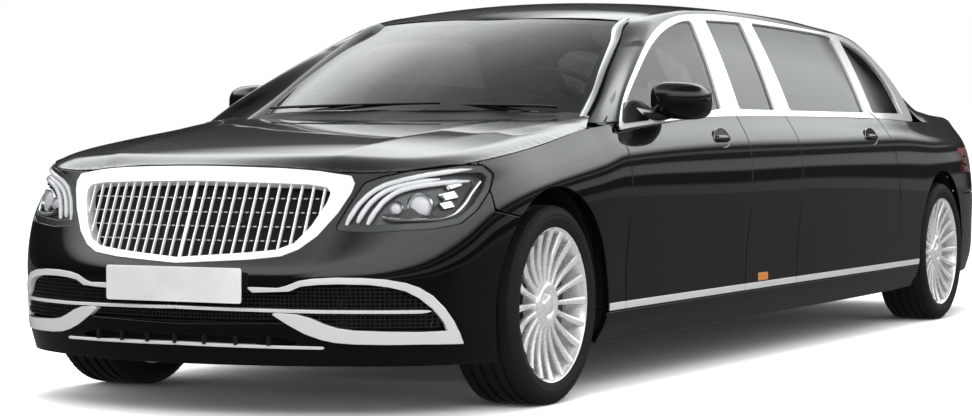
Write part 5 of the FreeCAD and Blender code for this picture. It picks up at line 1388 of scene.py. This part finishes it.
# the black triangle at the foot of the front window
tri = fillet(((-1.712, .960), (-1.606, 1.036), (-1.555, 1.046), (-1.500, 1.000), (-1.435, .974)), .008)
patch = clip(cabin_grid(-1.74, -1.40, .94, 1.07, .010, .008, -.006, .012), side(tri))
for sign, lr in SIDES:
    door = "front_%s_door" % lr
    put_sided(lr + "_mirror_shell", shell, reversed_(shell_faces), sign < 0, BLACK_GLOSS, door,
        lr + "_mirror", angle=50)
    put_sided(lr + "_mirror_arm", *tube(arm, np.linspace(.020, .026, 12), 14, squash=.7), sign < 0,
        BLACK_MATTE, door)
    put(lr + "_mirror_glass", np.array(pane_ring + [(.957, -1.2385, 1.046)]) * (sign, 1, 1),
        fan(36), REFLECT, door, slot="bright_chrome")
    put_panel(lr + "_mirror_patch", patch, BLACK_GLOSS, door, depth=.008, roll=.001, flip=sign < 0)


# ---------------------------------------------------------------- wipers, tail lamps, exhaust tips
wipers = Build()
for pts in (((-.60, -1.72, 1.020), (-.30, -1.80, 1.028), (.02, -1.800, 1.034), (.18, -1.785, 1.036)),
        ((.62, -1.69, 1.020), (.45, -1.755, 1.026), (.22, -1.775, 1.030), (-.02, -1.770, 1.044))):
    p = spline(pts, 40)
    wipers.add(*tube(p, np.linspace(.009, .005, 40), 8, squash=.6))
    wipers.add(*tube(p[8:] + np.array([0, .010, -.004]), .0035, 6))
wipers.put("wipers", BLACK_MATTE)
TAIL_SHEET = clip(sheet_from(across(.008, spine_at(2.45), SPINE[-1], 2.6, 5, 90), (.5, 1, .1)),
    tail_zone(TAIL_LAMP, -.001), outside(tail_zone(LID_TAIL, .003)))
put_panel("tail_lamp_lenses", TAIL_SHEET, RED_LENS, stands="tail_lamps", depth=.006, roll=.001, mirror=True)
put_panel("tail_lamp_bowls", lifted(TAIL_SHEET, -.03), REFLECT, slot="red_lens", depth=.002, roll=.0005,
    mirror=True)
rods = Build()
for z in (.725, .765, .805):
    rods.add(*tube([at_height(s_, 2.8, 4.8, z) * (1 - .018, 1 - .006, 1)
        for s_ in np.linspace(spine_at(2.72), spine_at(3.13), 26)], .006, 8))
rods.mirror().put("tail_lamp_guides", TAIL_GUIDE)
put_panel("rear_chrome_bar",
    lifted(clip(lid_face, front(((-.40, .655), (.40, .655), (.40, .672), (-.40, .672)))), .003),
    CHROME, "boot_lid", depth=.01)


def tail_pipe(half_x, half_z, radius):
    """A test for a rounded oblong where the exhaust ends."""
    return both_sides(rectangle(.47, .2885, half_x, half_z, radius))


put_panel("exhaust_trim", lifted(clip(tail_sheet, tail_pipe(.13, .0265, .014),
    outside(tail_pipe(.118, .0165, .010))), .002), CHROME, depth=.02, roll=.0025, mirror=True)
# near-black sheets in the exhaust openings: painted shade inside the pipes
put_panel("exhaust_painted_shade", lifted(clip(tail_sheet, tail_pipe(.12, .0185, .010)), .0015), PAINTED_SHADE, depth=.004,
    roll=.0005, mirror=True)

# wheel housings: arched shells behind the skins, each with an inner wall round its axle
HOUSING_R, WALL = .4085, .003
housings = Build()
arc_ = np.linspace(math.radians(-17), math.radians(197), 60)
for y, x_in in ((FRONT_AXLE, .488), (REAR_AXLE, .60)):
    for x_a, x_b, r_a, dx, dr in ((x_in, .895, HOUSING_R, 0, WALL), (x_in, x_in, .11, WALL, 0)):
        section = ((x_a, r_a), (x_b, HOUSING_R), (x_b + dx, HOUSING_R + dr), (x_a + dx, r_a + dr))
        v = np.array([[on_wheel(y, x, r, a) for x, r in section] for a in arc_])
        housings.add(v.reshape(-1, 3), grid(60, 4, wrap_c=True) + [[3, 2, 1, 0], [236, 237, 238, 239]])
housings.mirror().put("wheel_housings", BLACK_MATTE, stands="wheel_liners")


# ---------------------------------------------------------------- cabin
def superblock(centre, size, power, crown=0.0):
    """A padded block: rounded box with a crowned top, sides drawn in between its corners."""
    v, faces = superball(power, 22, 36)
    x, y, z = v.T
    up = z * size[2] + crown * (1 - x * x) * (1 - y * y) * (z > 0)
    return np.stack([x * size[0], y * size[1], up], 1) + np.asarray(centre), faces


def channels(v, axis, half, centre, face, sign, pitch=.062, depth=.006):
    """Sewn channels: grooves across a cushion's face."""
    w = v.copy()
    along = v[:, axis] - (centre - half)
    t = along / (2 * half)
    g = np.abs((along / pitch) % 1 - .5) * 2
    w[:, face] -= sign * depth * np.where((t > .08) & (t < .92), np.clip((g - .72) / .28, 0, 1) ** 1.5, 0)
    return w


FLOOR_Z, CUSHION_Z, LEAN_BACK = .215, .335, math.radians(13)


def seat(name, x, y, f, mat, stands, width=.50):
    """Base, cushion, back and headrest of one seat; f is -1 when it faces ahead."""
    def pad(part, v, faces, fill, stands=None):
        put(name + part, v, faces, mat, stands=stands, angle=60)

    base, faces = superblock((x, y, FLOOR_Z + .062), (width / 2 - .06, .21, .058), .25)
    put(name + "_base", base, faces, BLACK_MATTE, angle=40)
    v, faces = superblock((x, y + f * .005, CUSHION_Z + .052), (width / 2 - .015, .250, .046), .42, .012)
    pad("_cushion", channels(v, 1, .25, y, 2, 1), faces, .7, stands)
    v, faces = superblock((0, 0, 0), (width / 2 - .02, .055, .285), .42)
    v = channels(v, 2, .285, 0, 1, f)
    c, s_ = math.cos(-f * LEAN_BACK), math.sin(-f * LEAN_BACK)
    v = np.stack([v[:, 0], v[:, 1] * c - v[:, 2] * s_, v[:, 1] * s_ + v[:, 2] * c], 1)
    pad("_back", v + np.array([x, y - f * .295, CUSHION_Z + .345]), faces, .7)
    pad("_headrest", *superblock((x, y - f * .372, CUSHION_Z + .705), (.130, .042, .078), .5), .8)
    posts = Build()
    for dx in (-.05, .05):
        posts.add(*tube([(x + dx, y - f * .365, CUSHION_Z + .60), (x + dx, y - f * .370, CUSHION_Z + .66)],
            .006, 8))
    posts.put(name + "_headrest_posts", CHROME)


FRONT_ROW, REAR_ROW, FACING_ROW, SEAT_X = -.970, REAR_AXLE - .92, -.020, .385
seat("driver_seat", SEAT_X, FRONT_ROW, -1, BEIGE, "front_seats")
seat("passenger_seat", -SEAT_X, FRONT_ROW, -1, BEIGE, "front_seats")
for sign, lr in SIDES:
    seat("rear_%s_seat" % lr, sign * SEAT_X, REAR_ROW, -1, DARK_LEATHER, "rear_seats")
    seat("facing_%s_seat" % lr, sign * SEAT_X, FACING_ROW, 1, DARK_LEATHER, "rear_seats", .46)

# inner trim of the cabin's sides and front pillars
cabin_trim = clip(cabin_grid(-1.62, 1.95, .985, 1.42, .05, .03, .016, .05), side(FRAME, -.010),
    *round_glass(.002))
split_by_door("side_trim", "fixed_side_trim", cabin_trim, TRIM, .045, .003)
put_panel("pillar_trim", lifted(sheet_from(strip[:ROOF_0 + 1], (1, -.5, 1)), -.022), TRIM, depth=.004,
    roll=.001, mirror=True)

# body frame and door cores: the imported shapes, cut at the belt and kept under the outer skins
CUT_Z = .985
surface = across(.02, spine_at(-2.1), spine_at(2.1), .4, 4.2, 160).reshape(-1, 3)


def skin_x(y, z):
    """How far out the outer skin is."""
    d = (surface[:, 1] - y) ** 2 + (surface[:, 2] - z) ** 2
    return float(surface[d.argmin(), 0])


def core(node_, name, mats, body_, inset=.018):
    """A CAD node cut at the belt, drawn in under the skins, that takes the node's place."""
    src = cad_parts[node_]
    bm = bmesh.new()
    bm.from_mesh(src.data)
    bm.transform(src.matrix_world)
    bmesh.ops.bisect_plane(bm, geom=bm.verts[:] + bm.edges[:] + bm.faces[:], plane_co=(0, 0, CUT_Z),
        plane_no=(0, 0, 1), clear_outer=True)
    bmesh.ops.holes_fill(bm, edges=[e for e in bm.edges if e.is_boundary], sides=0)
    for v in bm.verts:
        if .28 < v.co.z < 1.0:
            room = skin_x(v.co.y, v.co.z) - inset
            if abs(v.co.x) > room:
                v.co.x = math.copysign(room, v.co.x)
    bm.normal_update()
    bm.verts.index_update()
    verts, faces = [v.co[:] for v in bm.verts], [[v.index for v in f.verts] for f in bm.faces]
    # faces that look into the cabin take the second material
    index = [int(abs(f.normal.x) > .6 and f.normal.x * f.calc_center_median().x < 0) for f in bm.faces]
    bm.free()
    put(name, verts, faces, mats[0], body_, node_, mats=mats, index=index, angle=30)


core("cabin_frame", "inner_body_frame", [UNDER, TRIM], "root", .012)
for door, row, right_side in each_door():
    core(door, door + "_core", [PAINT, DARK_LEATHER], door)

# headliner under the roof, with a console and an inner mirror by the windscreen
liner = full_width((half * (.93, 1, 1) - np.array([0, 0, .045]))[6:-6])
p, f = sheet_from(liner[::2, ::2], (0, 0, -1))
put("headliner_cloth", p[:, :3], f, HEADLINER, normals=p[:, 3:6])
put("roof_console", *superblock((0, -.86, 1.362), (.16, .10, .022), .45), TRIM, angle=50)
put("inner_mirror", *superblock((0, -.985, 1.306), (.115, .014, .032), .45), BLACK_GLOSS, angle=50)

# steering wheel: leather rim, hub pad, spokes, on its own body
wc, tilt = np.array([.385, -1.17, .89]), math.radians(22)
ax = np.array([0, math.cos(tilt), math.sin(tilt)])
e1, e2 = np.array([1.0, 0, 0]), np.cross(ax, [1.0, 0, 0])
ring = [wc + (e1 * math.cos(a) + e2 * math.sin(a)) * .187 for a in ring_of(72)]
b = Build().add(*tube(ring, .0145, 14, True, up=ax))
hub, f = superblock((0, 0, 0), (.085, .062, .020), .55)
b.add(wc + hub[:, :1] * e1 + hub[:, 1:2] * e2 - hub[:, 2:] * ax - ax * .008, f)
for ang in (0, 180, 270):
    d = e1 * math.cos(math.radians(ang)) + e2 * math.sin(math.radians(ang))
    b.add(*tube([wc + d * .06 - ax * .006, wc + d * .12 - ax * .008, wc + d * .182], [.016, .012, .010], 10,
        squash=.5, up=ax))
b.put("steering_wheel_rim", DARK_LEATHER, "steering_wheel", "steering_wheel", angle=50)

# every CAD node still showing gets its own finish
FINISH = dict(floor_pan=CARPET, firewall=UNDER, boot_floor=CARPET, front_frame=UNDER, cowl_panel=BLACK_MATTE,
    dashboard=DASH, engine_block=ENGINE, front_axle=STEEL, rear_axle=STEEL, exhaust=EXHAUST,
    front_left_knuckle=STEEL, front_right_knuckle=STEEL)
for name, mat in FINISH.items():
    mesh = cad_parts[name].data
    mesh.materials.clear()
    mesh.materials.append(mat)


# ---------------------------------------------------------------- floor, light and camera
def calc(t, kind, *values):
    """A math node; its values are numbers or other nodes' outputs."""
    m = t.nodes.new("ShaderNodeMath")
    m.operation = kind
    for k, q in enumerate(values):
        if isinstance(q, (int, float)):
            m.inputs[k].default_value = q
        else:
            t.links.new(q, m.inputs[k])
    return m.outputs[0]


def mixed(t, factor, one, two):
    """Shader one where the factor is 0 and two where it is 1."""
    return node(t, "MixShader", {0: factor, 1: one, 2: two}).outputs[0]


def place(t, space):
    """X, Y and Z outputs of a coordinate."""
    return node(t, "SeparateXYZ", {0: node(t, "TexCoord").outputs[space]}).outputs


WHITE = (1, 1, 1, 1)
SOFT_LIGHT, SKY_GAIN = 0.75, 2.4


def lit_world():
    """White behind the car and through its glass, plain soft grey light on it, a painted sky in its gloss."""
    w = bpy.data.worlds.new("studio")
    bpy.context.scene.world = w
    w.use_nodes = True
    t = w.node_tree
    base = t.nodes["Background"]
    base.inputs["Color"].default_value = WHITE
    base.inputs["Strength"].default_value = SOFT_LIGHT
    white = node(t, "Background", Color=WHITE, Strength=1.0)
    path = node(t, "LightPath").outputs
    either = calc(t, "MAXIMUM", path["Is Camera Ray"], path["Is Transmission Ray"])
    plain = mixed(t, either, base.outputs[0], white.outputs[0])
    x, y, z = place(t, "Generated")
    # a bright ring of sky over dark ground and trees, dimmer overhead; dark and light bands beside the car
    sky = ramp(t, z, [(0.0, .008), (.30, .010), (.38, .8), (.42, 1.0), (.55, 1.0), (.66, .55), (.78, .30),
        (1.0, .12)])
    side_sky = ramp(t, z, [(0.0, .085), (.012, .085), (.020, .008), (.052, .008), (.060, .19), (.100, .17),
        (.110, .008), (.140, .008), (.148, .10), (.160, .10), (.168, .01), (.190, .01), (.25, .85),
        (.38, 1.0), (.46, .35), (.56, .05)])
    beside = ramp(t, x, [(.02, 0.0), (.14, 1.0)])
    high = calc(t, "MULTIPLY", ramp(t, z, [(.52, 0.0), (.62, .88)]), beside)
    sky = calc(t, "MULTIPLY", sky, calc(t, "SUBTRACT", 1.0, high))
    ahead = ramp(t, calc(t, "MULTIPLY", y, -1.0), [(.35, .008), (.85, .06)])
    seen = calc(t, "MAXIMUM", sky, calc(t, "MULTIPLY", side_sky, beside))
    seen = calc(t, "MAXIMUM", calc(t, "MULTIPLY", seen, SKY_GAIN), ahead)
    glossy = node(t, "Background", {"Strength": seen}, Color=(.96, 1.0, 1.0, 1))
    last = mixed(t, path["Is Glossy Ray"], plain, glossy.outputs[0])
    t.links.new(last, t.nodes["World Output"].inputs["Surface"])


def white_floor(size=60):
    """White floor that keeps the shadow; gloss on the car's side sees it darker."""
    m = material("studio_floor", (.8, .8, .8), .9, Specular_IOR_Level=0)
    t = m.node_tree
    drive(m, "Base Color", noise(t, 3, 2.0), [(.3, .89), (.7, .90)])
    plain = t.nodes["Principled BSDF"].outputs[0]
    path = node(t, "LightPath").outputs
    more = node(t, "BsdfDiffuse", Color=WHITE)
    both = node(t, "AddShader", {0: plain, 1: more.outputs[0]})
    seen = mixed(t, path["Is Camera Ray"], plain, both.outputs[0])
    ahead = calc(t, "MULTIPLY_ADD", place(t, "Object")["Y"], -.25, -.6)
    dim = node(t, "Emission", {"Color": ramp(t, ahead, [(0.0, .13), (.35, .06)])})
    last = mixed(t, path["Is Glossy Ray"], seen, dim.outputs[0])
    t.links.new(last, t.nodes["Material Output"].inputs["Surface"])
    me = bpy.data.meshes.new("floor")
    me.from_pydata([(-size, -size, 0), (size, -size, 0), (size, size, 0), (-size, size, 0)], [],
        [(0, 1, 2, 3)])
    ob = bpy.data.objects.new("studio_floor", me)
    me.materials.append(m)
    bpy.context.scene.collection.objects.link(ob)


def area(name, size, at, aim, power):
    """A soft lamp that looks at a point and doesn't show in gloss."""
    lamp = bpy.data.lights.new(name, "AREA")
    lamp.shape = "RECTANGLE"
    lamp.size, lamp.size_y = size
    lamp.energy = power
    ob = bpy.data.objects.new(name, lamp)
    ob.location = at
    ob.rotation_euler = (Vector(aim) - Vector(at)).to_track_quat("-Z", "Y").to_euler()
    ob.visible_glossy = False
    bpy.context.scene.collection.objects.link(ob)


lit_world()
white_floor()
area("overhead", (5, 9), (0, 0, 6), (0, 0, 0), 260)
area("key", (5, 3), (5, -8, 5), (0, -1, .6), 160)

# the camera, solved from the photo: where it is, its direction and its small roll
AZ, EL, ROLLED = math.radians(25.653), math.radians(1.221), math.radians(.0547)
back = Vector((math.sin(AZ) * math.cos(EL), -math.cos(AZ) * math.cos(EL), math.sin(EL)))
right = Vector((math.cos(AZ), math.sin(AZ), 0))
up = back.cross(right)
across_, upward = (right * math.cos(ROLLED) + up * math.sin(ROLLED),
    up * math.cos(ROLLED) - right * math.sin(ROLLED))
cam = bpy.data.cameras.new("camera")
cam.sensor_width, cam.lens = 36.0, 92.12
cam.shift_x, cam.shift_y = -.0843, -.0201
cam.clip_start, cam.clip_end = .1, 200
eye = bpy.data.objects.new("camera", cam)
stand = Matrix((across_, upward, back)).transposed().to_4x4()
stand.translation = Vector((4.6182, -9.9256, .9149))
eye.matrix_world = stand
bpy.context.scene.collection.objects.link(eye)
bpy.context.scene.camera = eye
bpy.context.scene.view_settings.view_transform = "Standard"
